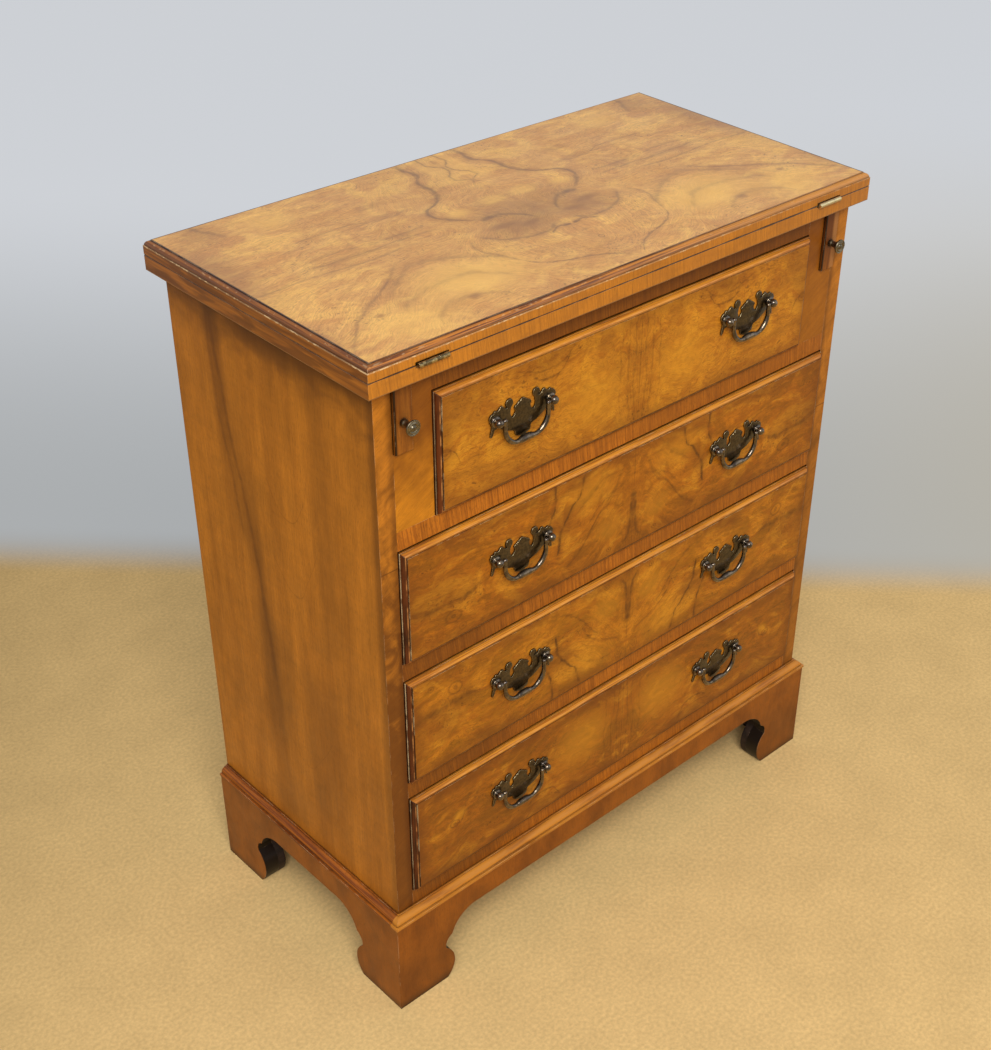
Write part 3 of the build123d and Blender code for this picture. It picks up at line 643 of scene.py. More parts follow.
@dataclass(frozen=True)
class DrawerEdge:
    """The ovolo round a drawer front: warm long grain above and below, dark brown at the ends,
    with a rubbed pale arris outside and a fine dark line inside. The lower length, which faces
    down, is painted in shade, and the fine dark line is painted shade in the step round the field."""

    long_grain: str = "#c98428"
    long_dark: str = "#9c5a18"
    end_grain: str = "#59290d"
    end_dark: str = "#2c1205"
    shade: str = "#6a380c"
    # The painted shade of the lower length of the ovolo, which faces down.
    under: str = "#431f08"
    mitre: str = "#8a4a1a"
    burnt: float = 0.6
    glint: str = "#cf9050"
    rim: str = "#d6bf96"
    rim_wear: float = 0.8
    rim_back: float = -150.55

    def lay(self, put: Put, colour: Socket, panel: Panel, spot: Spot) -> tuple[Socket, Socket | None]:
        """Colours the edge.

        Args:
            put: Adds a node.
            colour: The panel's own colour.
            panel: Where the panel lies.
            spot: The place to the right, to the back and up.

        Returns:
            The colour of the whole board, and None because the field needs no other height.
        """
        x, y, z = spot
        point = put(Kind.COMBINE, *spot)
        end_out, long_out, middle = panel.border(put, spot)
        border = put(Kind.MAX, end_out, long_out)
        along = self.grain(put, x, put(Kind.ADD, y, z), (70.0, 1.6), (self.long_grain, self.long_dark))
        # Painted shade: the lower length of the ovolo is darkened.
        lower = put(Kind.RAMP, middle, -1.0, 1.0, 0.84, 0.0)
        along = put(Kind.BLEND, lower, along, linear(self.under))
        along = stained(put, along, self.mitre, end_out, -70.0, 0.0, 0.5)
        across = self.grain(put, z, put(Kind.ADD, x, y), (50.0, 1.4), (self.end_grain, self.end_dark))
        drift = lumps(put, point, (34.0, 34.0, 22.0), 3.0)
        near = put(Kind.MUL_ADD, drift, 46.0, put(Kind.ADD, border, -23.0))
        mellow = put(Kind.SMOOTH, near, -22.0, 6.0, 0.0, self.burnt)
        foot = put(Kind.MUL_ADD, drift, -34.0, put(Kind.SUB, z, panel.foot))
        foot = put(Kind.SMOOTH, foot, 6.0, -12.0, 0.0, 0.85 * self.burnt)
        colour = put(Kind.BLEND, put(Kind.MAX, mellow, foot), colour, linear(self.shade))
        colour = put(Kind.BLEND, put(Kind.SMOOTH, long_out, -0.2, 0.1, 0.0, 1.0), colour, along)
        mitred = put(Kind.SMOOTH, put(Kind.SUB, end_out, long_out), -0.2, 0.2, 0.0, 1.0)
        shown = put(Kind.MUL, put(Kind.SMOOTH, end_out, -0.2, 0.1, 0.0, 1.0), mitred)
        colour = put(Kind.BLEND, shown, colour, across)
        # Painted shade: a fine dark line in the step round the field, deeper at the ends.
        depth = put(Kind.RAMP, mitred, 0.0, 1.0, 0.4, 0.6)
        colour = stained(put, colour, self.end_dark, away(put, border, 0.35), 0.85, 0.2, 1.0, depth)
        patches = lumps(put, point, (9.0, 9.0, 14.0), 4.0)
        scrapes = lumps(put, point, (20.0, 20.0, 30.0), 4.0, 0.5)
        scraped = put(Kind.SMOOTH, scrapes, 0.5, 0.62, 0.0, 0.6)
        inner = put(Kind.SMOOTH, away(put, border, 0.1), 0.5, 0.15, 0.0, 1.0)
        inner = put(Kind.MUL, put(Kind.MUL, inner, scraped), mitred)
        colour = put(Kind.BLEND, inner, colour, linear(self.rim))
        lit = put(Kind.SMOOTH, patches, 0.4, 0.62, 0.0, 0.55)
        colour = stained(put, colour, self.glint, away(put, border, 1.5), 0.7, 0.2, 1.0, lit)
        rubbed = put(Kind.SMOOTH, patches, 0.38, 0.52, 0.15, self.rim_wear)
        rim = put(Kind.SMOOTH, border, panel.edge - 0.75, panel.edge - 0.45, 0.0, 1.0)
        rim = put(Kind.MUL, rim, put(Kind.LESS, y, self.rim_back))
        long_rim = put(Kind.MUL, rim, put(Kind.SMOOTH, patches, 0.62, 0.7, 0.0, 0.6))
        end_rim = put(Kind.MUL, put(Kind.MUL, rim, mitred), rubbed)
        share = put(Kind.MAX, end_rim, long_rim)
        return put(Kind.BLEND, share, colour, linear(self.rim)), None

    def grain(
        self, put: Put, along: Socket, across: Socket, sizes: Pair, tints: tuple[str, str]
    ) -> Socket:
        """Draws the straight grain of one length of the moulding."""
        run = put(Kind.COMBINE, along, across, 0.0)
        lines = put(Kind.SMOOTH, lumps(put, run, (*sizes, 9.0), 3.0), 0.42, 0.66, 0.0, 1.0)
        return put(Kind.BLEND, lines, linear(tints[0]), linear(tints[1]))


@dataclass(frozen=True)
class Crossband:
    """Short lengths of walnut veneer laid with their grain across the edge. It gives the eye
    fine upright lines whose tone changes from length to length."""

    timber: Timber
    length: float = 74.0
    shift: float = 0.1
    stain: float = 0.35
    seed: float = 0.0

    def lay(self, put: Put, spot: Spot) -> tuple[Socket, Socket]:
        """Lays the veneer along an edge, round its corners too.

        Args:
            put: Adds a node.
            spot: The place to the right, to the back and up.

        Returns:
            The colour and the height.
        """
        x, y, z = spot
        run = put(Kind.ADD, put(Kind.ADD, x, y), self.seed * 37.0 + 900.0)
        lean = put(Kind.MUL_ADD, z, 0.12, run)
        lengths = put(Kind.DIV, run, self.length)
        uneven = put(Kind.NOISE_1D, {"W": lengths, "Scale": 1.3, "Detail": 0.0})
        lengths = put(Kind.ADD, lengths, uneven)
        number = put(Kind.FLOOR, lengths)
        tone = put(Kind.WHITE, {"W": number})
        grain = put(Kind.COMBINE, z, lean, put(Kind.MUL, number, 23.0))
        colour, height = self.timber.colour(put, grain)
        shade = put(Kind.RAMP, tone, 0.0, 1.0, 1 - self.shift, 1 + self.shift)
        colour = put(Kind.SCALE, {"Vector": colour, "Scale": shade})
        patches = lumps(put, put(Kind.COMBINE, *spot), (42.0, 42.0, 16.0), 4.0, 0.6)
        colour = stained(put, colour, self.timber.dark, patches, 0.48, 0.68, self.stain)
        part = put(Kind.FRACT, lengths)
        return stained(put, colour, self.timber.pore, part, 0.008, 0.0, 0.4), height


@dataclass(frozen=True)
class LeafEdge:
    """The moulded edge of the folding top: a dark quirk round the field, a warm ovolo, and
    crossbanded faces below it. The quirk and the ledge below the ovolo are painted dark as shade.
    The front has faded to gold on the right."""

    band: Crossband
    ovolo: str = "#b36d22"
    ovolo_dark: str = "#5c2d0a"
    ovolo_end: str = "#6a3606"
    gold: str = "#c58432"
    # The colour of the painted shade lines and of the joint.
    quirk: str = "#240f05"
    side_light: str = "#a4611a"
    side_dark: str = "#6a360e"
    cream: str = "#e2c092"
    top: float = 760.0
    joint: float = 745.3
    under: float = 731.0
    bare: str = "#8a5a2c"
    faded: Pair = (-120.0, 280.0)

    def lay(self, put: Put, colour: Socket, panel: Panel, spot: Spot) -> tuple[Socket, Socket]:
        """Colours the edge.

        Args:
            put: Adds a node.
            colour: The panel's own colour.
            panel: Where the panel lies.
            spot: The place to the right, to the back and up.

        Returns:
            The colour of the whole board, and the height of the crossbanded faces.
        """
        x, _, z = spot
        end_out, long_out, _ = panel.border(put, spot)
        border = put(Kind.MAX, end_out, long_out)
        on_end = put(Kind.MORE, end_out, long_out)
        fade = put(Kind.SMOOTH, x, *self.faded, 0.0, 1.0)
        fade = put(Kind.MUL, fade, put(Kind.SUB, 1.0, on_end))
        rim, height = self.moulding(put, spot, border, on_end, fade)
        colour = put(Kind.BLEND, put(Kind.SMOOTH, border, -0.2, 0.1, 0.0, 1.0), colour, rim)
        upper = put(Kind.MORE, z, self.top - 6.2)
        waxed = lumps(put, put(Kind.COMBINE, *spot), (30.0, 30.0, 30.0), 3.0)
        # Painted shade: dark lines in the quirk round the field and at the ledge below the ovolo,
        # deepest at the ends and lighter where the front has faded.
        for at, strength in ((0.6, 0.9), (panel.edge - 0.7, 0.5)):
            reach = put(Kind.RAMP, on_end, 0.0, 1.0, 0.95, 1.35)
            gap = put(Kind.DIV, away(put, border, at), reach)
            depth = put(Kind.RAMP, waxed, *CLOUDY, 0.6 * strength, strength)
            depth = put(Kind.MAX, depth, put(Kind.MUL, on_end, 0.96 * strength))
            line = put(Kind.MUL, put(Kind.SMOOTH, gap, 1.0, 0.3, 0.0, 1.0), put(Kind.MUL, depth, upper))
            line = put(Kind.MUL, line, put(Kind.RAMP, fade, 0.0, 1.0, 1.0, 0.6))
            colour = put(Kind.BLEND, line, colour, linear(self.quirk))
        colour = self.seam(put, colour, panel, spot, border, on_end)
        colour = self.chips(put, colour, panel, spot, border, fade)
        below = put(Kind.LESS, z, self.under)
        return put(Kind.BLEND, below, colour, linear(self.bare)), height

    def moulding(
        self, put: Put, spot: Spot, border: Socket, on_end: Socket, fade: Socket
    ) -> tuple[Socket, Socket]:
        """Draws the ovolo and the faces below it.

        Args:
            put: Adds a node.
            spot: The place to the right, to the back and up.
            border: How far out in the edge the place is.
            on_end: 1 on the two ends, 0 at the front and the back.
            fade: How much the place has faded.

        Returns:
            The colour of the moulding, and the height of its faces.
        """
        x, y, z = spot
        banded, height = self.band.lay(put, spot)
        run = put(Kind.COMBINE, y, z, put(Kind.ABS, x))
        tone = put(Kind.SMOOTH, lumps(put, run, (150.0, 7.0, 14.0), 4.0, 0.4), 0.34, 0.68, 0.0, 1.0)
        lengthwise = put(Kind.BLEND, tone, linear(self.side_light), linear(self.side_dark))
        smoke = lumps(put, put(Kind.COMBINE, *spot), (60.0, 60.0, 9.0), 4.0, 0.8)
        lengthwise = stained(put, lengthwise, self.ovolo_dark, smoke, 0.46, 0.62, 0.7)
        banded = put(Kind.BLEND, on_end, banded, lengthwise)
        run = put(Kind.COMBINE, put(Kind.ADD, x, y), z, border)
        tone = put(Kind.SMOOTH, lumps(put, run, (60.0, 1.3, 1.3), 3.0), 0.4, 0.62, 0.0, 1.0)
        ovolo = put(Kind.BLEND, tone, linear(self.ovolo), linear(self.ovolo_dark))
        ovolo = put(Kind.BLEND, put(Kind.MUL, on_end, 0.62), ovolo, linear(self.ovolo_end))
        ovolo = put(Kind.BLEND, put(Kind.MUL, fade, 0.75), ovolo, linear(self.gold))
        high = put(Kind.SMOOTH, z, self.top - 5.4, self.top - 5.0, 0.0, 1.0)
        return put(Kind.BLEND, high, banded, ovolo), height

    def seam(
        self, put: Put, colour: Socket, panel: Panel, spot: Spot, border: Socket, on_end: Socket
    ) -> Socket:
        """Darkens the joint between the two leaves, outside only.

        Args:
            put: Adds a node.
            colour: The colour without it.
            panel: Where the panel lies.
            spot: The place to the right, to the back and up.
            border: How far out in the edge the place is.
            on_end: 1 on the two ends, 0 at the front and the back.

        Returns:
            The colour with the seam in it.
        """
        uneven = lumps(put, put(Kind.COMBINE, *spot), (24.0, 24.0, 60.0), 3.0)
        gap = put(Kind.DIV, away(put, spot[2], self.joint), put(Kind.RAMP, uneven, *CLOUDY, 0.45, 1.5))
        worn = put(Kind.RAMP, on_end, 0.0, 1.0, 1.0, 0.6)
        worn = put(Kind.MUL, worn, put(Kind.MORE, border, panel.edge - 0.6))
        return stained(put, colour, self.quirk, gap, 1.0, 0.4, 0.92, worn)

    def chips(
        self, put: Put, colour: Socket, panel: Panel, spot: Spot, border: Socket, fade: Socket
    ) -> Socket:
        """Rubs the upper arris down to pale wood in places, and paints pale patches on the ovolo's nose
        that are partly wear and partly painted highlight.

        Args:
            put: Adds a node.
            colour: The colour without them.
            panel: Where the panel lies.
            spot: The place to the right, to the back and up.
            border: How far out in the edge the place is.
            fade: How much the place has faded.

        Returns:
            The colour with the worn places in it.
        """
        x, y, z = spot
        corner = put(Kind.SMOOTH, put(Kind.SUB, put(Kind.ABS, x), y), 436.0, 486.0, 0.0, 0.1)
        chips = put(Kind.ADD, lumps(put, put(Kind.COMBINE, *spot), (6.0, 6.0, 3.0), 3.0), corner)
        chipped = put(Kind.SMOOTH, chips, 0.52, 0.62, 0.2, 0.8)
        ledge = put(Kind.SMOOTH, border, panel.edge - 0.6, panel.edge - 0.3, 0.0, 1.0)
        # Pale patches on the ovolo's nose: partly wear, partly painted highlight.
        nose = put(Kind.SMOOTH, away(put, border, panel.edge * 0.55), 1.1, 0.2, 0.0, 0.3)
        worn = put(Kind.SMOOTH, chips, 0.56, 0.64, 0.0, 1.0)
        ledge = put(Kind.MAX, ledge, put(Kind.MUL, nose, worn))
        lip = put(Kind.MORE, z, self.top - 6.6)
        chipped = put(Kind.MUL, chipped, put(Kind.MUL, ledge, lip))
        chipped = put(Kind.MUL, chipped, put(Kind.RAMP, fade, 0.0, 1.0, 1.0, 0.3))
        return put(Kind.BLEND, chipped, colour, linear(self.cream))


@dataclass(frozen=True)
class PolishedWood:
    """A wood with a pattern of its own, aged by use with painted shade in its corners, and polished."""

    name: str
    gloss: Gloss = field(default_factory=Gloss, kw_only=True)
    ageing: Ageing = field(default_factory=Ageing, kw_only=True)

    def build(self) -> bpy.types.Material:
        """Builds the material.

        Returns:
            The finished material.
        """
        material, put = new_material(self.name)
        spot = place(put)
        point = put(Kind.COMBINE, *spot)
        colour, height = self.lay(put, spot)
        # Wear on the arrises, and painted shade in the corners.
        colour, soft = self.ageing.lay(put, colour, point)
        self.gloss.lay(put, colour, height, point, soft)
        return material


@dataclass(frozen=True)
class BurrVeneer(PolishedWood):
    """Sliced burr walnut, book-matched and French-polished. It gives the eye cloudy golden
    figure that mirrors at the joint, threaded with dark veins."""

    figure: Figure
    panel: Panel
    timber: Timber
    edge: DrawerEdge | LeafEdge = field(default_factory=DrawerEdge)
    thread: str = "#45250b"
    smoke: str = "#6e3d0e"
    pale: str = "#c98a22"
    rose: str = "#97520f"
    seed: float = 0.0
    wander: float = 11.0
    threads: float = 0.4
    pip: float = 5.0
    warmth: float = 0.5
    curl: float = 0.1
    joint: float = 0.35
    wisp: float = 0.42

    def lay(self, put: Put, spot: Spot) -> tuple[Socket, Socket]:
        """Draws the figure, the listed marks and the moulded edge.

        Args:
            put: Adds a node.
            spot: The place to the right, to the back and up.

        Returns:
            The colour and the height of the surface.
        """
        across, tall = put(Kind.ABS, spot[0]), self.panel.up(spot)
        if self.panel.turned:
            up = put(Kind.SUB, self.panel.foot + self.panel.height, tall)
        else:
            up = put(Kind.SUB, tall, self.panel.foot)
        far_out, far_up = self.warped(put, across, up, ((64.0, self.wander), (13.0, self.wander * 0.3)))
        colour, height = self.grain(put, far_out, far_up)
        near_out, near_up = self.warped(put, across, up, ((34.0, 3.4), (8.0, 1.1)))
        tints = (self.thread, self.smoke, self.pale)
        colour = self.figure.marks.draw(put, colour, near_out, near_up, *tints)
        colour = self.hands(put, colour, spot[0])
        colour, edge_height = self.edge.lay(put, colour, self.panel, spot)
        return colour, edge_height or height

    def warped(
        self, put: Put, across: Socket, up: Socket, waves: Sequence[Pair]
    ) -> tuple[Socket, Socket]:
        """Makes the leaf's coordinates wander, alike on both sides of the joint.

        Args:
            put: Adds a node.
            across: The distance from the joint.
            up: The height above the leaf's foot.
            waves: How wide each wave is and how far it reaches.

        Returns:
            The wandering distance from the joint and height.
        """
        flat = put(Kind.COMBINE, across, up, self.seed * 100.0)
        moved = [across, up]
        for size, reach in waves:
            scaled = put(Kind.SCALE, {"Vector": flat, "Scale": 1 / size})
            cloud = put(Kind.NOISE, {"Vector": scaled, "Scale": 1.0, "Detail": 1.5})
            parts = put(Kind.SEPARATE, cloud.node.outputs["Color"]).node.outputs
            for side in (0, 1):
                shift = put(Kind.SUB, parts[side], 0.5)
                moved[side] = put(Kind.MUL_ADD, shift, 2 * reach, moved[side])
        return moved[0], moved[1]

    def grain(self, put: Put, out: Socket, up: Socket) -> tuple[Socket, Socket]:
        """Draws the clouds, bands, threads, fibres and pores.

        Args:
            put: Adds a node.
            out: The wandering distance from the joint.
            up: The wandering height above the leaf's foot.

        Returns:
            The colour and the height of the surface.
        """
        figure = self.figure
        inner = put(Kind.SUB, out, drawn_line(put, up, figure.waist))
        fall = put(Kind.MUL, drawn_line(put, out, figure.lift), drawn_line(put, up, figure.lift_weight))
        outer = put(Kind.SUB, up, fall)
        share = put(Kind.SMOOTH, inner, *figure.heart, 0.0, 1.0)
        flow = put(Kind.BLEND_VALUE, share, inner, outer)
        along = put(Kind.BLEND_VALUE, share, up, out)
        lie = put(Kind.COMBINE, along, flow, self.seed * 40.0)
        leaf = put(Kind.COMBINE, out, up, self.seed * 30.0)
        clouds = lumps(put, leaf, (56.0, 38.0, 50.0), 3.0, 1.4)
        mottle = lumps(put, leaf, (15.0, 10.0, 20.0), 4.0, 1.3)
        streaks = lumps(put, lie, (64.0, 8.0, 30.0), 4.0, 0.5)
        weight = put(Kind.RAMP, share, 0.0, 1.0, 0.12, 0.4)
        tone = put(Kind.MUL, put(Kind.SUB, streaks, 0.5), weight)
        tone = put(Kind.MUL_ADD, clouds, 0.45, tone)
        tone = put(Kind.MUL_ADD, mottle, 0.3, tone)
        tone = put(Kind.SMOOTH, tone, *self.timber.contrast, 0.0, 1.0)
        colour = put(Kind.BLEND, tone, linear(self.timber.light), linear(self.timber.dark))
        colour = stained(put, colour, self.pale, clouds, 0.5, 0.34, 0.5)
        warm = lumps(put, leaf, (30.0, 17.0, 30.0), 4.0, 1.6)
        colour = stained(put, colour, self.rose, warm, 0.48, 0.64, self.warmth)
        curls = lumps(put, lie, (17.0, 3.2, 20.0), 4.0, 1.8)
        colour = shaded(put, colour, curls, 1 + self.curl, 1 - self.curl)
        wisps = lumps(put, leaf, (8.0, 4.5, 9.0), 5.0, 2.6)
        colour = stained(put, colour, self.smoke, wisps, 0.5, 0.68, self.wisp)
        colour, height = self.timber.fibres(put, colour, lie)
        patches = lumps(put, leaf, (60.0, 34.0, 60.0), 2.0)
        present = put(Kind.SMOOTH, patches, 0.48, 0.64, 0.0, self.threads)
        for wide, tall, reach in ((30.0, 17.0, 0.011), (12.0, 8.0, 0.018)):
            ridge = away(put, lumps(put, leaf, (wide, tall, 30.0), 2.0, 1.8), 0.5)
            colour = stained(put, colour, self.thread, ridge, reach, 0.0, 1.0, present)
        return self.flecked(put, colour, leaf, lie), height

    def flecked(self, put: Put, colour: Socket, leaf: Socket, lie: Socket) -> Socket:
        """Draws short dark flecks along the fibres, and clusters of tiny burr pips.

        Args:
            put: Adds a node.
            colour: The veneer's colour.
            leaf: The place on the leaf.
            lie: The place along and across the fibres.

        Returns:
            The colour with the flecks and pips in it.
        """
        crowd = lumps(put, leaf, (44.0, 30.0, 44.0), 2.0, 0.6)
        flecks = lumps(put, lie, (8.0, 1.5, 8.0), 2.0)
        amount = put(Kind.SMOOTH, crowd, 0.4, 0.6, 0.25, 1.0)
        colour = stained(put, colour, self.smoke, flecks, 0.56, 0.7, 0.5, amount)
        spread = put(Kind.SCALE, {"Vector": leaf, "Scale": 1 / self.pip})
        cells = put(Kind.CELLS, {"Vector": spread, "Scale": 1.0})
        clusters = put(Kind.SMOOTH, crowd, 0.56, 0.66, 0.0, 1.0)
        return stained(put, colour, self.thread, cells, 0.3, 0.1, 0.6, clusters)

    def hands(self, put: Put, colour: Socket, x: Socket) -> Socket:
        """Tells the two leaves apart: the turned one shines a little differently, and a fine
        joint shows between them.

        Args:
            put: Adds a node.
            colour: The veneer's colour.
            x: The place to the right.

        Returns:
            The colour with the joint in it.
        """
        side = put(Kind.SMOOTH, x, -1.0, 1.0, 0.98, 1.03)
        colour = put(Kind.SCALE, {"Vector": colour, "Scale": side})
        return stained(put, colour, self.thread, put(Kind.ABS, x), 0.8, 0.1, self.joint)


class Axis(Enum):
    """Which of the piece's directions the grain follows. AROUND runs along the front and then
    along the sides, as a mitred moulding's does."""

    RIGHT = 0
    BACK = 1
    UP = 2
    AROUND = 3


@dataclass(frozen=True)
class SawnWood(PolishedWood):
    """A polished or plain board of one timber. It gives the eye straight or slanting grain."""

    timber: Timber
    along: Axis = Axis.UP
    tilt: float = 0.0
    wander: float = 5.0
    mottle: float = 0.06
    seed: float = 0.0

    def lay(self, put: Put, spot: Spot) -> tuple[Socket, Socket]:
        """Draws the board's grain and what is special about the board.

        Args:
            put: Adds a node.
            spot: The place to the right, to the back and up.

        Returns:
            The colour and the height of the surface.
        """
        x, y, z = spot
        around = put(Kind.ADD, x, y) if self.along is Axis.AROUND else x
        main, side, deep = ((x, z, y), (y, z, x), (z, x, y), (around, z, z))[self.along.value]
        turn = math.radians(self.tilt)
        if self.tilt:
            slanted = put(Kind.MUL, side, math.sin(turn))
            level = put(Kind.MUL, main, -math.sin(turn))
            main = put(Kind.MUL_ADD, main, math.cos(turn), slanted)
            side = put(Kind.MUL_ADD, side, math.cos(turn), level)
        whole = put(Kind.COMBINE, main, side, deep)
        shift = put(Kind.SUB, lumps(put, whole, (160.0, 40.0, 60.0), 2.0), 0.5)
        side = put(Kind.MUL_ADD, shift, self.wander * 4, side)
        deep = put(Kind.ADD, deep, self.seed * 50.0)
        colour, height = self.timber.colour(put, put(Kind.COMBINE, main, side, deep))
        spots = lumps(put, put(Kind.COMBINE, *spot), (22.0, 22.0, 22.0), 4.0, 0.8)
        colour = shaded(put, colour, spots, 1 - self.mottle, 1 + self.mottle)
        return self.detail(put, colour, spot), height

    def detail(self, put: Put, colour: Socket, spot: Spot) -> Socket:
        """Leaves a plain board as it is."""
        return colour


@dataclass(frozen=True)
class SidePanel(SawnWood):
    """A plain walnut side with a dark streak slanting down it and faint flame lines. Its front
    edge is the stile, a strip of slanting grain. The side is painted in shade under the top's
    overhang and just above the base moulding."""

    marks: Marks = field(default_factory=Marks)
    stile: Timber = field(
        default_factory=lambda: Timber(
            "#b56f1e", "#8c5415", band_width=17.0, band_length=110.0, contrast=(0.36, 0.9)
        )
    )
    stile_at: float = -149.3
    joints: Pair = (546.0, 491.0)
    vein: str = "#55290a"
    smoke: str = "#6b3e12"
    # The colour of the painted shade under the top's overhang.
    pale: str = "#bb8030"
    burnt: str = "#57300d"
    gap: str = "#2e1608"
    # The colour of the painted shade under the top and above the base moulding, and of the darker band
    # near the front.
    border: str = "#3e1e08"
    inner: str = "#4a2408"
    lower: str = "#532808"

    def detail(self, put: Put, colour: Socket, spot: Spot) -> Socket:
        """Draws the streaks of the side, painted shade under the top and above the base moulding, a
        darker band near the front, and the stile's own veneer.

        Args:
            put: Adds a node.
            colour: The plain side's colour.
            spot: The place to the right, to the back and up.

        Returns:
            The colour of the whole board.
        """
        _, y, z = spot
        point = put(Kind.COMBINE, *spot)
        shift = put(Kind.SUB, lumps(put, point, (60.0, 60.0, 60.0), 3.0), 0.5)
        back = put(Kind.MUL_ADD, shift, 9.0, y)
        colour = shaded(put, colour, lumps(put, point, (80.0, 80.0, 110.0), 3.0, 0.6), 1.13, 0.87)
        colour = shaded(put, colour, lumps(put, point, (9.0, 9.0, 150.0), 4.0, 0.3), 0.92, 1.08)
        colour = shaded(put, colour, lumps(put, point, (30.0, 26.0, 4.0), 2.0), 0.965, 1.035)
        colour = self.marks.draw(put, colour, back, z, self.vein, self.smoke, self.pale)
        # Painted shade under the top's overhang, with a ragged lower edge.
        burnt = put(Kind.MUL_ADD, lumps(put, point, (46.0, 46.0, 30.0), 4.0, 0.8), 110.0, z)
        colour = stained(put, colour, self.burnt, burnt, 715.0, 790.0, 0.66)
        # Painted shade above the base moulding and close under the top, and a darker band towards the
        # front edge.
        for read, start, end, share in (
            (z, 131.0, 118.5, 0.85),
            (z, 716.0, 730.0, 0.7),
            (y, -136.0, -146.0, 0.42),
        ):
            colour = stained(put, colour, self.border, read, start, end, share)
        front = put(Kind.LESS, y, self.stile_at)
        return put(Kind.BLEND, front, colour, self.strip(put, spot))

    def strip(self, put: Put, spot: Spot) -> Socket:
        """Draws the stile's own veneer, smoky below and jointed across at one height a side.

        Args:
            put: Adds a node.
            spot: The place to the right, to the back and up.

        Returns:
            The stile's colour.
        """
        x, _, z = spot
        grain = SawnWood("", self.stile, Axis.RIGHT, 34.0, 7.0, 0.16, self.seed + 3.0)
        strip, _ = grain.lay(put, spot)
        left_joint, right_joint = self.joints
        joint = put(Kind.MUL_ADD, put(Kind.MORE, x, 0.0), right_joint - left_joint, left_joint)
        strip = stained(put, strip, self.gap, away(put, z, joint), 1.0, 0.3, 0.55)
        strip = stained(put, strip, self.inner, put(Kind.ABS, x), 300.0, 293.0, 0.5)
        figured = lumps(put, put(Kind.COMBINE, *spot), (24.0, 24.0, 34.0), 5.0, 1.6)
        lowered = put(Kind.MUL_ADD, figured, -700.0, z)
        left = put(Kind.RAMP, x, -1.0, 1.0, 1.0, 0.5)
        return stained(put, strip, self.lower, lowered, 300.0, 20.0, 0.8, left)


@dataclass(frozen=True)
class Facing(SawnWood):
    """The upright strips beside the top drawer, duller towards the top and on the right."""

    shade: str = "#66310a"
    low: float = 600.0
    high: float = 680.0

    def detail(self, put: Put, colour: Socket, spot: Spot) -> Socket:
        """Darkens the strips towards the top and on the right.

        Args:
            put: Adds a node.
            colour: The plain strip's colour.
            spot: The place to the right, to the back and up.

        Returns:
            The shaded colour.
        """
        x, _, z = spot
        cloud = lumps(put, put(Kind.COMBINE, *spot), (26.0, 26.0, 40.0), 3.0)
        lifted = put(Kind.MUL_ADD, cloud, 80.0, z)
        upper = put(Kind.SMOOTH, lifted, self.low + 40.0, self.high + 40.0, 0.0, 0.78)
        right = put(Kind.RAMP, x, -1.0, 1.0, 0.0, 0.55)
        return put(Kind.BLEND, put(Kind.MAX, upper, right), colour, linear(self.shade))


@dataclass(frozen=True)
class Loper(SawnWood):
    """A loper: a walnut slide, darker towards its top and on the right one, with the slot's shade
    painted on its left border and a sheen painted on the right one.
    """

    stained: str = "#572a0e"
    # The painted sheen on the right part of the right loper.
    handled: str = "#a8703c"
    # The painted shade of the slot.
    slot: str = "#160a04"
    width: float = 18.8
    middle: float = 281.5
    face: float = -152.8

    def detail(self, put: Put, colour: Socket, spot: Spot) -> Socket:
        """Darkens both lopers towards the top and the right one all over, paints a sheen on the right
        part of the right one, and paints the slot's shade on the left border of both.

        Args:
            put: Adds a node.
            colour: The plain slide's colour.
            spot: The place to the right, to the back and up.

        Returns:
            The colour of the whole slide.
        """
        x, y, z = spot
        right = put(Kind.MORE, x, 0.0)
        stain = put(Kind.RAMP, z, 660.0, 715.0, 0.1, 0.5)
        stain = put(Kind.MUL_ADD, right, 0.4, stain)
        colour = put(Kind.BLEND, stain, colour, linear(self.stained))
        middle = put(Kind.MUL_ADD, right, 2 * self.middle, -self.middle)
        aside = put(Kind.SUB, x, middle)
        # Painted sheen: the right part of the right loper is lightened.
        colour = stained(put, colour, self.handled, aside, 1.0, 5.0, 0.75, right)
        # Painted shade: the slot's shadow along the left border of the front face.
        border = -self.width / 2
        front = put(Kind.LESS, y, self.face + 0.8)
        return stained(put, colour, self.slot, aside, 2.3 + border, 1.3 + border, 0.92, front)


@dataclass(frozen=True)
class BaseMoulding(SawnWood):
    """The moulding on the plinth. Its front is lighter in patches: faded to gold, and partly a painted
    highlight where it catches the light.
    """

    faded: str = "#c6822e"
    front: float = -150.0

    def detail(self, put: Put, colour: Socket, spot: Spot) -> Socket:
        """Lightens the front of the moulding in patches, partly as faded wood and partly as painted
        highlight.

        Args:
            put: Adds a node.
            colour: The moulding's colour.
            spot: The place to the right, to the back and up.

        Returns:
            The colour of the whole moulding.
        """
        at_front = put(Kind.LESS, spot[1], self.front)
        patches = lumps(put, put(Kind.COMBINE, *spot), (60.0, 14.0, 14.0), 4.0)
        # Faded wood, and partly a painted highlight on the front.
        share = put(Kind.SMOOTH, patches, 0.35, 0.6, 0.35, 0.8)
        share = put(Kind.MUL, share, at_front)
        return put(Kind.BLEND, share, colour, linear(self.faded))


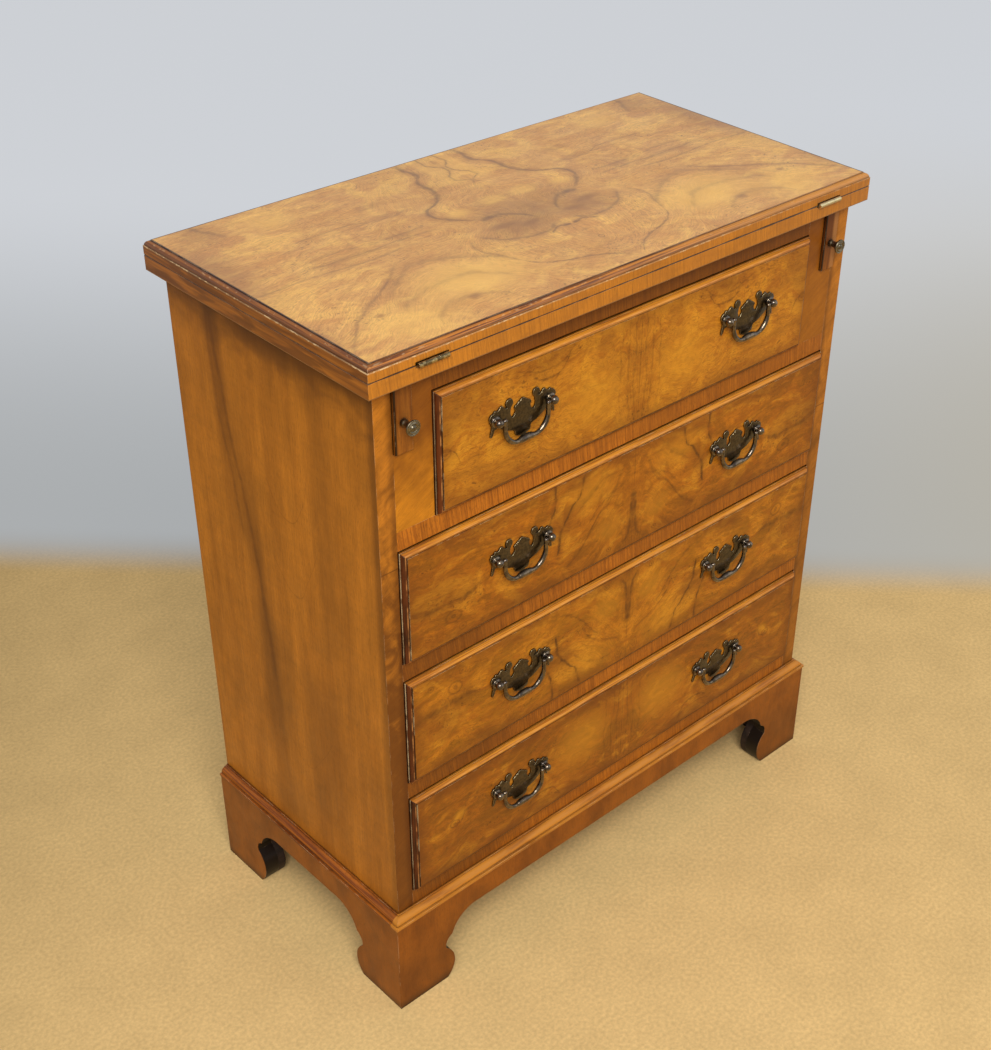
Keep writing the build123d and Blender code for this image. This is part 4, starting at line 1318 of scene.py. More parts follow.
@dataclass(frozen=True)
class PlinthBoard(SawnWood):
    """A bracket plinth board: polished outside, rough and near black inside and where it is cut, partly
    as painted shade.
    """

    outer_half: float = 320.2
    outer_front: float = -159.5
    deep: str = "#3d1c08"
    sawn: str = "#19100a"

    def detail(self, put: Put, colour: Socket, spot: Spot) -> Socket:
        """Deepens the low front, darkens the foot with dirt and painted contact shade, and blackens
        every face but the outer ones, partly as painted shade.

        Args:
            put: Adds a node.
            colour: The polished colour.
            spot: The place to the right, to the back and up.

        Returns:
            The colour of the whole board.
        """
        x, y, z = spot
        ahead = put(Kind.LESS, y, self.outer_front)
        colour = stained(put, colour, self.deep, z, 98.0, 40.0, 0.27, ahead)
        # Dirt and painted contact shade at the foot.
        colour = stained(put, colour, self.sawn, z, 13.0, 0.0, 0.5)
        # Every face but the outer ones is near black: partly painted shade, as seen through the arches.
        within = put(Kind.LESS, put(Kind.ABS, x), self.outer_half)
        inner = put(Kind.MUL, within, put(Kind.MORE, y, self.outer_front))
        return put(Kind.BLEND, inner, colour, linear(self.sawn))


@dataclass(frozen=True)
class BandedRail(PolishedWood):
    """A rail faced with crossbanded walnut, smokier to the right, darker on the left of the lower
    rails, and painted in shade close under the top.
    """

    band: Crossband
    ageing: Ageing = field(default_factory=lambda: Ageing(dirt="#220e05"), kw_only=True)
    smoke: str = "#6e3d12"
    shade: str = "#4a2508"
    top_rail: float = 705.0
    lower_rails: float = 440.0

    def lay(self, put: Put, spot: Spot) -> tuple[Socket, Socket]:
        """Draws the crossbanding, with smoke over it.

        Args:
            put: Adds a node.
            spot: The place to the right, to the back and up.

        Returns:
            The colour and the height of the surface.
        """
        x, _, z = spot
        colour, height = self.band.lay(put, spot)
        cloud = lumps(put, put(Kind.COMBINE, *spot), (90.0, 90.0, 60.0), 3.0)
        smoky = put(Kind.MUL_ADD, cloud, 700.0, x)
        colour = stained(put, colour, self.smoke, smoky, 150.0, 620.0, 0.3)
        smoky, lower = put(Kind.MUL_ADD, cloud, 300.0, x), put(Kind.LESS, z, self.lower_rails)
        colour = stained(put, colour, self.shade, smoky, 150.0, -110.0, 0.62, lower)
        # Painted shadow of the top's overhang on the top rail.
        above = put(Kind.MUL, put(Kind.MORE, z, self.top_rail), 0.62)
        return put(Kind.BLEND, above, colour, linear(self.shade)), height


@dataclass(frozen=True)
class CastMetal:
    """Cast bronze or brass, darkened and lacquered. It gives the eye a mottled brown skin, rubbed
    bright on its edges, with sharp small highlights. Its edges and chamfers are painted bright,
    partly as wear and partly as painted highlight, and it is painted dark, as shade, where other
    parts stand close."""

    name: str
    base: str
    stain: str
    rubbed: str
    roughness: float = 0.3
    mottle: float = 2.6
    wear: float = 0.7
    arris: float = 0.5
    coat: float = 0.5
    coat_roughness: float = 0.14
    chamfer: float = 0.0
    shadow: float = 2.2
    bands: Pair = (0.0, 0.0)
    # The colour of the painted shade where other parts stand close.
    corner: str = "#0d0a07"

    def build(self) -> bpy.types.Material:
        """Builds the material.

        Returns:
            The finished material.
        """
        material, put = new_material(self.name)
        spot = place(put)
        point = put(Kind.COMBINE, *spot)
        spots = lumps(put, point, (self.mottle,) * 3, 4.0)
        tone = put(Kind.SMOOTH, spots, 0.38, 0.62, 0.0, 1.0)
        colour = put(Kind.BLEND, tone, linear(self.base), linear(self.stain))
        soft, arris = softened(put, self.arris)
        corner = hollow(put, self.shadow, 0.8, 0.3)
        # Painted highlight: chamfers that turn away from the front are brightened as if they caught the
        # light, with some filed wear.
        if self.chamfer:
            toward = put(Kind.ABS, facing(put)[1])
            filed = put(Kind.SMOOTH, toward, 0.95, 0.8, 0.0, self.chamfer)
            arris = put(Kind.MAX, arris, filed)
        if self.bands[1]:
            middle, period = self.bands
            aside = put(Kind.SUB, put(Kind.ABS, spot[0]), middle)
            wave = put(Kind.COSINE, put(Kind.MUL, aside, math.tau / period))
            bright = put(Kind.RAMP, spot[0], -1.0, 1.0, 0.0, 0.7)
            colour = stained(put, colour, self.stain, wave, -0.1, -0.7, 0.75)
            colour = put(Kind.BLEND, bright, colour, linear(self.rubbed))
        arris = put(Kind.SUB, arris, corner, use_clamp=True)
        # Edges rubbed bright: partly wear, partly painted highlight.
        patches = lumps(put, point, (5.0, 5.0, 5.0))
        worn = put(Kind.SMOOTH, patches, 0.3, 0.6, 0.35 * self.wear, self.wear)
        colour = put(Kind.BLEND, put(Kind.MUL, arris, worn), colour, linear(self.rubbed))
        # Painted shade: darkened where other parts stand close, as round the posts.
        colour = put(Kind.BLEND, put(Kind.MUL, corner, 0.75), colour, linear(self.corner))
        pits = lumps(put, point, (0.8, 0.8, 0.8))
        relief = {"Strength": 0.1, "Distance": 0.15 * MM, "Height": pits, "Normal": soft}
        skin = {
            "Base Color": colour,
            "Metallic": 1.0,
            "Roughness": put(Kind.RAMP, spots, *CLOUDY, self.roughness - 0.05, self.roughness + 0.1),
            "Normal": put(Kind.BUMP, relief),
            "Coat Weight": self.coat,
            "Coat Roughness": self.coat_roughness,
        }
        put(Kind.OUTPUT, {"Surface": put(Kind.PRINCIPLED, skin)})
        return material


@dataclass(frozen=True)
class StudioFloor:
    """A sand-coloured floor that turns into a pale grey backdrop behind the chest. It gives the
    eye the chest's soft shadow. The floor is painted darker towards the back left, and the
    backdrop carries a painted warm shadow to the right of the chest."""

    name: str = "sand_floor_and_backdrop"
    colour: str = "#d8b67c"
    wall: str = "#aeb1b3"
    wall_high: str = "#d4d7dc"
    wall_warm: str = "#bdb5a2"
    towards: Pair = (0.7012, 0.713)
    turn: Pair = (430.0, 560.0)
    rise: Pair = (560.0, 1900.0)
    leftwards: Pair = (-0.713, 0.7012)
    dim: Pair = (200.0, 1000.0)

    def build(self) -> bpy.types.Material:
        """Builds the material.

        Returns:
            The finished material.
        """
        material, put = new_material(self.name)
        point = put(Kind.COMBINE, *place(put))
        pile = lumps(put, point, (4.2, 4.2, 4.2), 3.0)
        colour = shaded(put, linear(self.colour)[:3], pile, 0.88, 1.12)
        trodden = lumps(put, point, (70.0, 70.0, 70.0), 4.0)
        colour = shaded(put, colour, trodden, 0.95, 1.05)
        # Painted shade: the floor darkens towards the back left.
        aside = put(Kind.DOT, point, (*self.leftwards, 0.0)).node.outputs["Value"]
        shade = put(Kind.SMOOTH, aside, *self.dim, 1.0, 0.74)
        colour = put(Kind.SCALE, {"Vector": colour, "Scale": shade})
        beyond = put(Kind.DOT, point, (*self.towards, 0.0)).node.outputs["Value"]
        behind = put(Kind.SMOOTH, beyond, *self.turn, 0.0, 1.0)
        high = put(Kind.SMOOTH, beyond, *self.rise, 0.0, 1.0)
        wall = put(Kind.BLEND, high, linear(self.wall), linear(self.wall_high))
        # Painted shadow: the low backdrop to the right of the chest is tinted warm.
        right = put(Kind.SMOOTH, aside, 100.0, -1100.0, 0.0, 1.0)
        near = put(Kind.SMOOTH, beyond, 2600.0, 600.0, 0.0, 0.75)
        wall = put(Kind.BLEND, put(Kind.MUL, right, near), wall, linear(self.wall_warm))
        colour = put(Kind.BLEND, behind, colour, wall)
        surface = put(Kind.DIFFUSE, {"Color": colour})
        lit = put(Kind.EMISSION, {"Color": wall, "Strength": 1.0})
        seen = put(Kind.LIGHT_PATH).node.outputs
        ray = put(Kind.MAX, seen["Is Camera Ray"], seen["Is Glossy Ray"])
        share = put(Kind.MUL, behind, put(Kind.MUL, ray, 0.85))
        put(Kind.OUTPUT, {"Surface": put(Kind.MIX_SHADER, share, surface, lit)})
        return material


# The top's figure, read in millimetres from the centre joint and from the front edge backwards.
TOP_FIGURE = Figure(
    lift=((0, 0), (81, 20), (106, 78), (152, 103), (194, 95), (250, 49), (325, 0)),
    lift_weight=((0, 1), (110, 1), (190, 0.12), (326, 0.1)),
    waist=(
        (0, 0), (11, 4), (30, 36), (48, 72), (69, 89), (90, 95), (118, 94), (140, 80), (164, 60),
        (185, 83), (202, 90), (221, 73), (233, 58), (252, 50), (273, 48), (294, 36), (330, 34),
    ),
    heart=(4, 70),
    marks=Marks(
        steady=0.65, ragged=5, bold=1.45,
        clouds=(
            Cloud((20, 160), (84, 62), 0.4), Cloud((38, 128), (62, 30), 0.5),
            Cloud((52, 141), (26, 9), 0.66), Cloud((28, 131), (20, 8), 0.6),
            Cloud((0, 152), (26, 30), 0.35), Cloud((66, 190), (20, 13), 0.5, True),
            Cloud((20, 196), (24, 14), 0.4, True), Cloud((14, 285), (20, 60), 0.4, True),
            Cloud((318, 215), (46, 120), 0.5), Cloud((322, 60), (24, 60), 0.4),
            Cloud((282, 306), (30, 34), 0.4), Cloud((150, 76), (88, 56), 0.7, True),
            Cloud((236, 40), (70, 46), 0.4, True), Cloud((212, 290), (48, 30), 0.4, True),
            Cloud((173, 44), (9, 8), 0.6), Cloud((258, 66), (6, 6), 0.6),
            Cloud((144, 186), (26, 8), 0.32), Cloud((124, 231), (26, 7), 0.34),
            Cloud((210, 176), (60, 8), 0.3), Cloud((120, 258), (30, 10), 0.3),
        ),
        eyes=(Eye((0, 64), 7, 0.6), Eye((78, 66), 7, 0.4)),
        veins=(
            Vein(
                (
                    (160, 56), (175, 73), (185, 83), (202, 90), (213, 87), (221, 73), (233, 58),
                    (252, 50), (273, 48), (294, 36), (310, 38), (332, 33),
                ),
                3.2, 0.58, False, 0.55,
            ),
            Vein(
                ((12, 136), (23, 152), (31, 160), (39.7, 165), (52, 165.5), (64, 161)), 3.4, 0.6,
                True, 0.6,
            ),
            Vein(((0, 102), (8, 104), (15, 106), (22, 103), (30, 97)), 1.8, 0.7, True),
            Vein(
                ((8, 116), (35, 105), (50, 106), (65, 111), (80, 124), (92, 137)), 2.2, 0.42, True,
                0.8,
            ),
            Vein(
                ((2, 8), (6, 15), (31, 35), (56, 44), (72, 50), (84, 60), (93, 73)), 1.2, 0.6, True,
            ),
            Vein(((74, 93), (92, 101), (112, 108), (134, 100)), 1.4, 0.35),
            Vein(((236, 6), (246, 1.5), (260, 15), (285, 2), (306, 12), (332, 9)), 1.3, 0.5),
            Vein(((180, 142), (202, 123), (236, 98), (273, 73), (319, 23)), 2.4, 0.34, True, 0.8),
            Vein(
                ((88, 66), (104, 92), (123, 108), (150, 124), (169, 128), (200, 112), (240, 84)),
                4.6, 0.26, True, 0.5,
            ),
            Vein(((112, 50), (130, 68), (156, 84), (200, 80), (240, 60)), 4.6, 0.24, True, 0.5),
            Vein(((140, 20), (160, 42), (190, 48), (215, 38), (232, 12)), 4, 0.22, True, 0.5),
            Vein(((104, 174), (140, 178), (190, 176), (262, 181)), 1.3, 0.34, True),
            Vein(((112, 190), (160, 187), (210, 192), (250, 190)), 1.3, 0.34, True),
            Vein(((150, 166), (200, 160), (250, 163), (322, 160)), 1.4, 0.34, True),
            Vein(((96, 232), (130, 226), (170, 236), (230, 233)), 1.2, 0.3, True),
            Vein(((286, 262), (300, 269), (318, 276), (331, 277)), 3.4, 0.4),
        ),
    ),
)

# The two middle fronts share four leaves; the upper one is hung upside down.
MATCHED_INNER = Figure(
    lift=((0, 0), (14, 18), (34, 42), (56, 60), (80, 70), (110, 72), (170, 66), (291, 55)),
    heart=(1, 22),
    marks=Marks(
        bold=1.5,
        clouds=(
            Cloud((96, 52), (30, 24), 0.5), Cloud((262, 60), (66, 40), 0.42),
            Cloud((60, 28), (52, 30), 0.35, True), Cloud((34, 84), (30, 22), 0.3, True),
            Cloud((0, 84), (8, 46), 0.4), Cloud((205, 14), (50, 16), 0.3),
            Cloud((150, 108), (40, 16), 0.35),
        ),
        eyes=(
            Eye((235, 92), 17, 0.4), Eye((33, 110), 6, 0.6), Eye((225, 108), 8, 0.35),
            Eye((265, 105), 7, 0.35),
        ),
        veins=(
            Vein(((2, 107), (12, 107), (27, 108), (42, 114), (58, 120)), 1.9, 0.8),
            Vein(((2, 68), (17, 71), (29, 75), (36, 84), (50, 94), (66, 101), (90, 105)), 2, 0.78),
            Vein(((52, 1), (80, 3), (95, 4.5), (114, 13)), 2.2, 0.55, False, 0.8),
            Vein(((200, 70), (230, 76), (262, 74), (291, 70)), 3.2, 0.45, True, 0.7),
            Vein(((30, 52), (46, 62), (60, 78), (76, 95), (96, 106)), 1.8, 0.36, True),
            Vein(((4, 36), (24, 41), (46, 52), (66, 70)), 1.8, 0.32, True),
            Vein(((2, 24), (30, 22), (60, 34), (84, 52)), 1.6, 0.26, True),
        ),
    ),
)

# The plain outer fronts: pale and quiet above, darker and smokier below.
MATCHED_OUTER = Figure(
    lift=((0, 0), (30, 16), (70, 26), (110, 24), (150, 6), (210, 10), (291, 0)), heart=(2, 40),
    marks=Marks(
        clouds=(
            Cloud((0, 60), (10, 70), 0.14), Cloud((60, 70), (60, 50), 0.4, True),
            Cloud((235, 30), (60, 30), 0.35), Cloud((120, 14), (26, 12), 0.35),
            Cloud((232, 70), (12, 12), 0.45, True),
        ),
        eyes=(Eye((240, 62), 11, 0.45),),
        veins=(
            Vein(((90, 10), (99, 24), (106, 30), (120, 31), (140, 24)), 1.8, 0.6, True),
            Vein(((86, 3), (96, 16), (108, 21), (124, 22), (148, 14)), 1.5, 0.45, True),
            Vein(((0, 5), (60, 8), (123, 5)), 1.6, 0.34),
            Vein(((0, 13), (50, 17), (90, 14), (123, 16)), 1.6, 0.28),
            Vein(((10, 24), (60, 27), (116, 23)), 1.6, 0.2),
            Vein(((224, 76), (232, 62), (246, 58)), 1.5, 0.5, True),
            Vein(((110, 92), (160, 96), (220, 90), (288, 94)), 2.6, 0.2, True),
        ),
    ),
)

# The sides, read from the middle towards the back and up from the floor.
SIDE_MARKS = Marks(
    steady=0.8, ragged=2.6,
    clouds=(
        # The first four clouds are painted shade under the top's overhang.
        Cloud((-20, 712), (76, 20), 0.62), Cloud((20, 716), (60, 26), 0.6),
        Cloud((88, 712), (20, 40), 0.55), Cloud((-110, 722), (60, 14), 0.5),
        Cloud((52, 520), (22, 210), 0.34), Cloud((-66, 560), (30, 230), 0.3),
        Cloud((-52, 300), (36, 90), 0.3), Cloud((40, 300), (30, 120), 0.26),
        Cloud((20, 160), (60, 50), 0.22),
    ),
    veins=(
        Vein(
            (
                (300, 35), (345, 38), (430, 47), (500, 55), (600, 75), (668, 84), (705, 88),
                (745, 92),
            ),
            4.6, 0.42, False, 1,
        ),
        Vein(((130, 26), (200, 29), (275, 33), (345, 38), (430, 47)), 8, 0.2, False, 0.9),
        Vein(((470, 66), (560, 80), (640, 92), (712, 94), (735, 96)), 4.2, 0.3, False, 0.8),
        Vein(
            ((140, -22), (185, -30), (300, -65), (430, -80), (585, -85), (720, -70)), 8, 0.06,
            False, 1.2,
        ),
        Vein(((-52, 618), (-34, 560), (-12, 536), (8, 548), (26, 604)), 1.1, 0.3, True, 0.1),
        Vein(((-60, 530), (-36, 480), (-14, 452), (8, 468), (30, 512)), 1.1, 0.3, True, 0.1),
        Vein(((-60, 300), (-30, 252), (-10, 234), (12, 250), (40, 320)), 1.1, 0.24, True, 0.1),
    ),
)


class Walnut(Enum):
    """The walnuts of the chest, from the palest leaf to the reddest board."""

    TOP = Timber("#e0a85a", "#c88c4a", fibre=0.12, pores=0.25, contrast=(0.22, 0.54))
    RAIL = Timber("#b86c1a", "#8c4c12", "#331808", 1.6, 50.0, 0.16, 0.45, (0.3, 0.74))
    LEAF_EDGE = Timber("#ba731b", "#9a5c16", "#3f200c", 1.7, 60.0, 0.08, 0.25, (0.3, 0.8))
    FACING = Timber("#c57c1a", "#a96815", "#3f200c", 7.0, 60.0, 0.08, 0.25, (0.28, 0.8))
    SIDE = Timber("#b4701f", "#965a17", "#3a2412", 26.0, 420.0, 0.11, 0.25, (0.25, 0.8))
    PLINTH = Timber("#915010", "#743c09", "#3a2412", 26.0, 60.0, 0.06, 0.3, (0.28, 0.76))
    MOULDING = Timber("#a25a19", "#6c340c", band_width=2.2, band_length=120.0)
    LOPER = Timber("#a3621a", "#7a430f", band_width=6.0, band_length=90.0)
    OAK = Timber("#c7a067", "#a67d46", "#7a5a34", band_width=12.0, band_length=240.0)
    PLY = Timber("#a67c4c", "#8c6437", "#6b4a28", band_width=30.0, band_length=300.0)
    DEAL = Timber("#33231a", "#22170f", "#120a05", band_width=8.0, band_length=200.0)


@dataclass(frozen=True)
class Front:
    """How one drawer front is veneered, and where it stands."""

    figure: Figure
    turned: bool
    light: str
    dark: str
    foot: float
    half: float = 290.7
    threads: float = 0.4
    contrast: Pair = (0.28, 0.48)
    rim: float = 0.8
    burnt: float = 0.6


@dataclass
class Finishes:
    """Every finish of the chest, by the material slot or the node that wears it."""

    front_height: float = 123.1
    front_edge: float = 5.1
    fronts: tuple[Front, ...] = (
        Front(MATCHED_OUTER, True, "#bf7a1c", "#a86a19", 584.0, 247.7, 0.22, (0.26, 0.52), 0.28, 0.5),
        Front(MATCHED_INNER, True, "#af6712", "#88500d", 439.0),
        Front(MATCHED_INNER, False, "#ba7216", "#965d0f", 294.0, threads=0.45),
        Front(MATCHED_OUTER, False, "#a45f11", "#844e0d", 149.0, threads=0.4, rim=0.5, burnt=0.85),
    )

    def build(self) -> dict[str, bpy.types.Material]:
        """Builds the finishes.

        Returns:
            The materials by slot, and for the fronts by node.
        """
        dull = Gloss(0.62, 0.1, 0.0, 0.3, 0.12, 0.3)
        raw = Ageing(wear=0.0, quirk=0.5, grime=0.25)
        finishes = {
            "top_veneer": self.top(),
            "rail_veneer": BandedRail("crossbanded_walnut_rail", Crossband(Walnut.RAIL.value)),
            "facing_veneer": Facing(
                "light_walnut_facing", Walnut.FACING.value, Axis.RIGHT, 30.0, 9.0, 0.16, 2.0
            ),
            "carcase_walnut": SidePanel(
                "polished_walnut_side", Walnut.SIDE.value, mottle=0.07, seed=3.0, marks=SIDE_MARKS
            ),
            "plinth_walnut": PlinthBoard(
                "stained_walnut_plinth", Walnut.PLINTH.value, mottle=0.12, seed=4.0
            ),
            "moulding_walnut": BaseMoulding(
                "walnut_base_moulding",
                Walnut.MOULDING.value,
                Axis.AROUND,
                0.0,
                1.0,
                seed=5.0,
                ageing=Ageing(wear=0.9, quirk=0.85),
            ),
            "loper_walnut": Loper(
                "walnut_loper", Walnut.LOPER.value, seed=6.0, ageing=Ageing(quirk=0.95, grime=0.85)
            ),
            "drawer_wood": SawnWood(
                "waxed_oak_lining", Walnut.OAK.value, Axis.BACK, seed=7.0, gloss=dull, ageing=raw
            ),
            "plain_board": SawnWood(
                "unpolished_plywood", Walnut.PLY.value, seed=8.0, gloss=dull, ageing=raw
            ),
            "stained_softwood": SawnWood(
                "stained_deal", Walnut.DEAL.value, Axis.RIGHT, seed=9.0, gloss=dull, ageing=raw
            ),
            "dark_bronze": CastMetal(
                "patinated_bronze", "#514430", "#3d3222", "#dcc99c", 0.36,
                wear=0.8, chamfer=0.5, shadow=5.0,
            ),
            "bright_bronze": CastMetal(
                "handled_bronze", "#6a5a44", "#40342a", "#f0e4cc", 0.24, 4.0, 0.6,
                coat=1.0, coat_roughness=0.12,
            ),
            "knob_bronze": CastMetal(
                "olive_bronze", "#756b56", "#584f3e", "#e4dabc", 0.36, 4.0, 1.0, coat=0.3
            ),
            "hinge_brass": CastMetal(
                "aged_brass", "#b09c6c", "#5a4a2c", "#e8d8a8", 0.36, wear=0.6, bands=(257.0, 12.4)
            ),
        }
        for number, front in enumerate(self.fronts, 1):
            timber = Timber(front.light, front.dark, fibre=0.09, pores=0.18, contrast=front.contrast)
            finishes[f"drawer_{number}_front"] = BurrVeneer(
                f"burr_walnut_front_{number}",
                front.figure,
                Panel(front.foot, self.front_height, front.half, self.front_edge, turned=front.turned),
                timber,
                DrawerEdge(rim_wear=front.rim, burnt=front.burnt),
                seed=number * 1.7,
                threads=front.threads,
                ageing=Ageing(rub="#dcc08f", dirt="#220e05", wear=0.25 + 0.5 * front.rim),
            )
        return {slot: finish.build() for slot, finish in finishes.items()}

    def top(self) -> BurrVeneer:
        """Describes the finish of the two leaves."""
        return BurrVeneer(
            "burr_walnut_top",
            TOP_FIGURE,
            Panel(-163.0, 330.8, 323.2, 6.4, Lie.FLAT),
            Walnut.TOP.value,
            LeafEdge(Crossband(Walnut.LEAF_EDGE.value, 88.0, 0.08, 0.5, 1.0)),
            thread="#6b4a32",
            smoke="#8f5f36",
            pale="#eeb85c",
            rose="#c28348",
            seed=1.0,
            threads=0.3,
            warmth=0.3,
            joint=0.12,
            wisp=0.3,
            gloss=Gloss(0.36, 0.12, 0.22, 0.18, 0.05, 0.45),
            ageing=Ageing(wear=0.55, quirk=0.6, grime=0.25),
        )


def moved(x: float, y: float, z: float) -> Matrix:
    """Gives a move by millimetres."""
    return Matrix.Translation((x * MM, y * MM, z * MM))


def finished(mesh: bpy.types.Mesh, *finishes: bpy.types.Material) -> bpy.types.Mesh:
    """Gives a mesh its finishes, in order, and hands it back."""
    mesh.materials.clear()
    for finish in finishes:
        mesh.materials.append(finish)
    return mesh


def baked(holder: bpy.types.Object) -> bpy.types.Mesh:
    """Evaluates an object with its modifiers and keeps only the mesh it comes to.

    Args:
        holder: The object, not yet in the scene.

    Returns:
        The plain mesh.
    """
    bpy.context.scene.collection.objects.link(holder)
    graph = bpy.context.evaluated_depsgraph_get()
    made = bpy.data.meshes.new_from_object(holder.evaluated_get(graph), depsgraph=graph)
    bpy.data.objects.remove(holder)
    return made


def joined(name: str, parts: Sequence[tuple[bpy.types.Mesh, Matrix]]) -> bpy.types.Mesh:
    """Brings meshes together in one, each turned and moved to its place.

    Args:
        name: The new mesh's name.
        parts: Each mesh with its place.

    Returns:
        The new mesh, smooth except on its arrises.
    """
    body = bmesh.new()
    for mesh, at in parts:
        piece = bmesh.new()
        piece.from_mesh(mesh)
        bmesh.ops.transform(piece, matrix=at, verts=piece.verts)
        placed = bpy.data.meshes.new("placed")
        piece.to_mesh(placed)
        body.from_mesh(placed)
        piece.free()
        bpy.data.meshes.remove(placed)
    bmesh.ops.remove_doubles(body, verts=body.verts, dist=1e-6)
    bmesh.ops.recalc_face_normals(body, faces=body.faces)
    for face in body.faces:
        face.smooth = True
    for edge in body.edges:
        edge.smooth = edge.calc_face_angle(0.0) < math.radians(38)
    mesh = bpy.data.meshes.new(name)
    body.to_mesh(mesh)
    body.free()
    return mesh


def ball(middle: float, radius: float, start: float, end: float, count: int = 10) -> tuple[Pair, ...]:
    """Gives the part of a turned profile that rounds a ball.

    Args:
        middle: The ball's middle along the axis.
        radius: Its radius.
        start: Where the arc begins, in degrees from the axis.
        end: Where it ends.
        count: How many points it has.

    Returns:
        Pairs of the distance along the axis and the radius there.
    """
    angles = (math.radians(start + (end - start) * step / (count - 1)) for step in range(count))
    return tuple((middle - radius * math.cos(a), max(radius * math.sin(a), 0.0)) for a in angles)


@dataclass(frozen=True)
class Turning:
    """A piece turned on a lathe. Its profile pairs a distance along the axis with a radius, from
    the one pole to the other."""

    profile: tuple[Pair, ...]
    steps: int = 32

    def mesh(self, name: str) -> bpy.types.Mesh:
        """Turns the profile round the upright axis.

        Args:
            name: The mesh's name.

        Returns:
            The closed mesh, in metres.
        """
        body = bmesh.new()
        rings = []
        for height, radius in self.profile:
            if radius <= 0.0:
                rings.append([body.verts.new((0.0, 0.0, height * MM))])
                continue
            turns = (math.tau * step / self.steps for step in range(self.steps))
            rings.append(
                [
                    body.verts.new((radius * MM * math.cos(a), radius * MM * math.sin(a), height * MM))
                    for a in turns
                ]
            )
        for low, high in zip(rings, rings[1:]):
            for step in range(self.steps):
                after = (step + 1) % self.steps
                corners = [low[step % len(low)], low[after % len(low)]]
                corners += [high[after % len(high)], high[step % len(high)]]
                body.faces.new(list(dict.fromkeys(corners)))
        bmesh.ops.recalc_face_normals(body, faces=body.faces)
        mesh = bpy.data.meshes.new(name)
        body.to_mesh(mesh)
        body.free()
        return mesh


def new_growth(name: str, sizes: Mapping[str, str]) -> tuple[bpy.types.NodeTree, Put]:
    """Makes an empty Geometry Nodes tree that takes a mesh and named sizes.

    Args:
        name: The tree's name.
        sizes: The kind of socket of each named input.

    Returns:
        The tree and the call that adds nodes to it.
    """
    tree = bpy.data.node_groups.new(name, "GeometryNodeTree")
    fields = {"Geometry": "NodeSocketGeometry", **sizes}
    for label, kind in fields.items():
        tree.interface.new_socket(label, in_out="INPUT", socket_type=kind)
    tree.interface.new_socket("Geometry", in_out="OUTPUT", socket_type="NodeSocketGeometry")
    return tree, adder(tree)


def end_growth(put: Put, body: Socket, finish: Socket) -> None:
    """Ends a Geometry Nodes tree in plain geometry of one finish.

    Args:
        put: Adds a node.
        body: The grown geometry.
        finish: The material it wears.
    """
    body = put(Kind.REALIZE, {"Geometry": body})
    body = put(Kind.SET_MATERIAL, {"Geometry": body, "Material": finish})
    put(Kind.GROUP_OUT, {"Geometry": body})


def even_row() -> bpy.types.NodeTree:
    """Repeats the mesh it is given in a row.

    Returns:
        The tree, with inputs for the count, the first place, the step and the finish.
    """
    kinds = {
        "Count": "NodeSocketInt",
        "Start": "NodeSocketVector",
        "Step": "NodeSocketVector",
        "Finish": "NodeSocketMaterial",
    }
    tree, put = new_growth("even_row", kinds)
    given = put(Kind.GROUP_IN).node.outputs
    places = {"Count": given["Count"], "Start Location": given["Start"], "Offset": given["Step"]}
    points = put(Kind.ROW, places)
    row = put(Kind.REPEAT, {"Points": points, "Instance": given["Geometry"]})
    end_growth(put, row, given["Finish"])
    return tree


def swept_bail() -> bpy.types.NodeTree:
    """Sweeps a round bar along the line it is given, swelling to a grip in the middle.

    Returns:
        The tree, with inputs for the bar's thickness, the count of its rings and its finish.
    """
    kinds = {"Thickness": "NodeSocketFloat", "Rings": "NodeSocketInt", "Finish": "NodeSocketMaterial"}
    tree, put = new_growth("swept_bail", kinds)
    given = put(Kind.GROUP_IN).node.outputs
    line = put(Kind.TO_CURVE, {"Mesh": given["Geometry"]})
    line = put(Kind.EVEN_POINTS, {"Curve": line, "Count": given["Rings"]})
    along = put(Kind.SPLINE).node.outputs["Factor"]
    swell = drawn_line(
        put,
        along,
        (
            (0.0, 0.88), (0.1, 0.92), (0.24, 1.12), (0.31, 1.0), (0.35, 0.94), (0.42, 1.25),
            (0.5, 1.42), (0.58, 1.25), (0.65, 0.94), (0.69, 1.0), (0.76, 1.12), (0.9, 0.92),
            (1.0, 0.88),
        ),
    )
    radius = put(Kind.MUL, swell, given["Thickness"])
    ring = put(Kind.CIRCLE, {"Resolution": 20, "Radius": 1.0})
    bar = {"Curve": line, "Profile Curve": ring, "Scale": radius, "Fill Caps": True}
    body = put(Kind.SHADE_SMOOTH, {"Geometry": put(Kind.FOLLOW, bar), "Shade Smooth": True})
    end_growth(put, body, given["Finish"])
    return tree


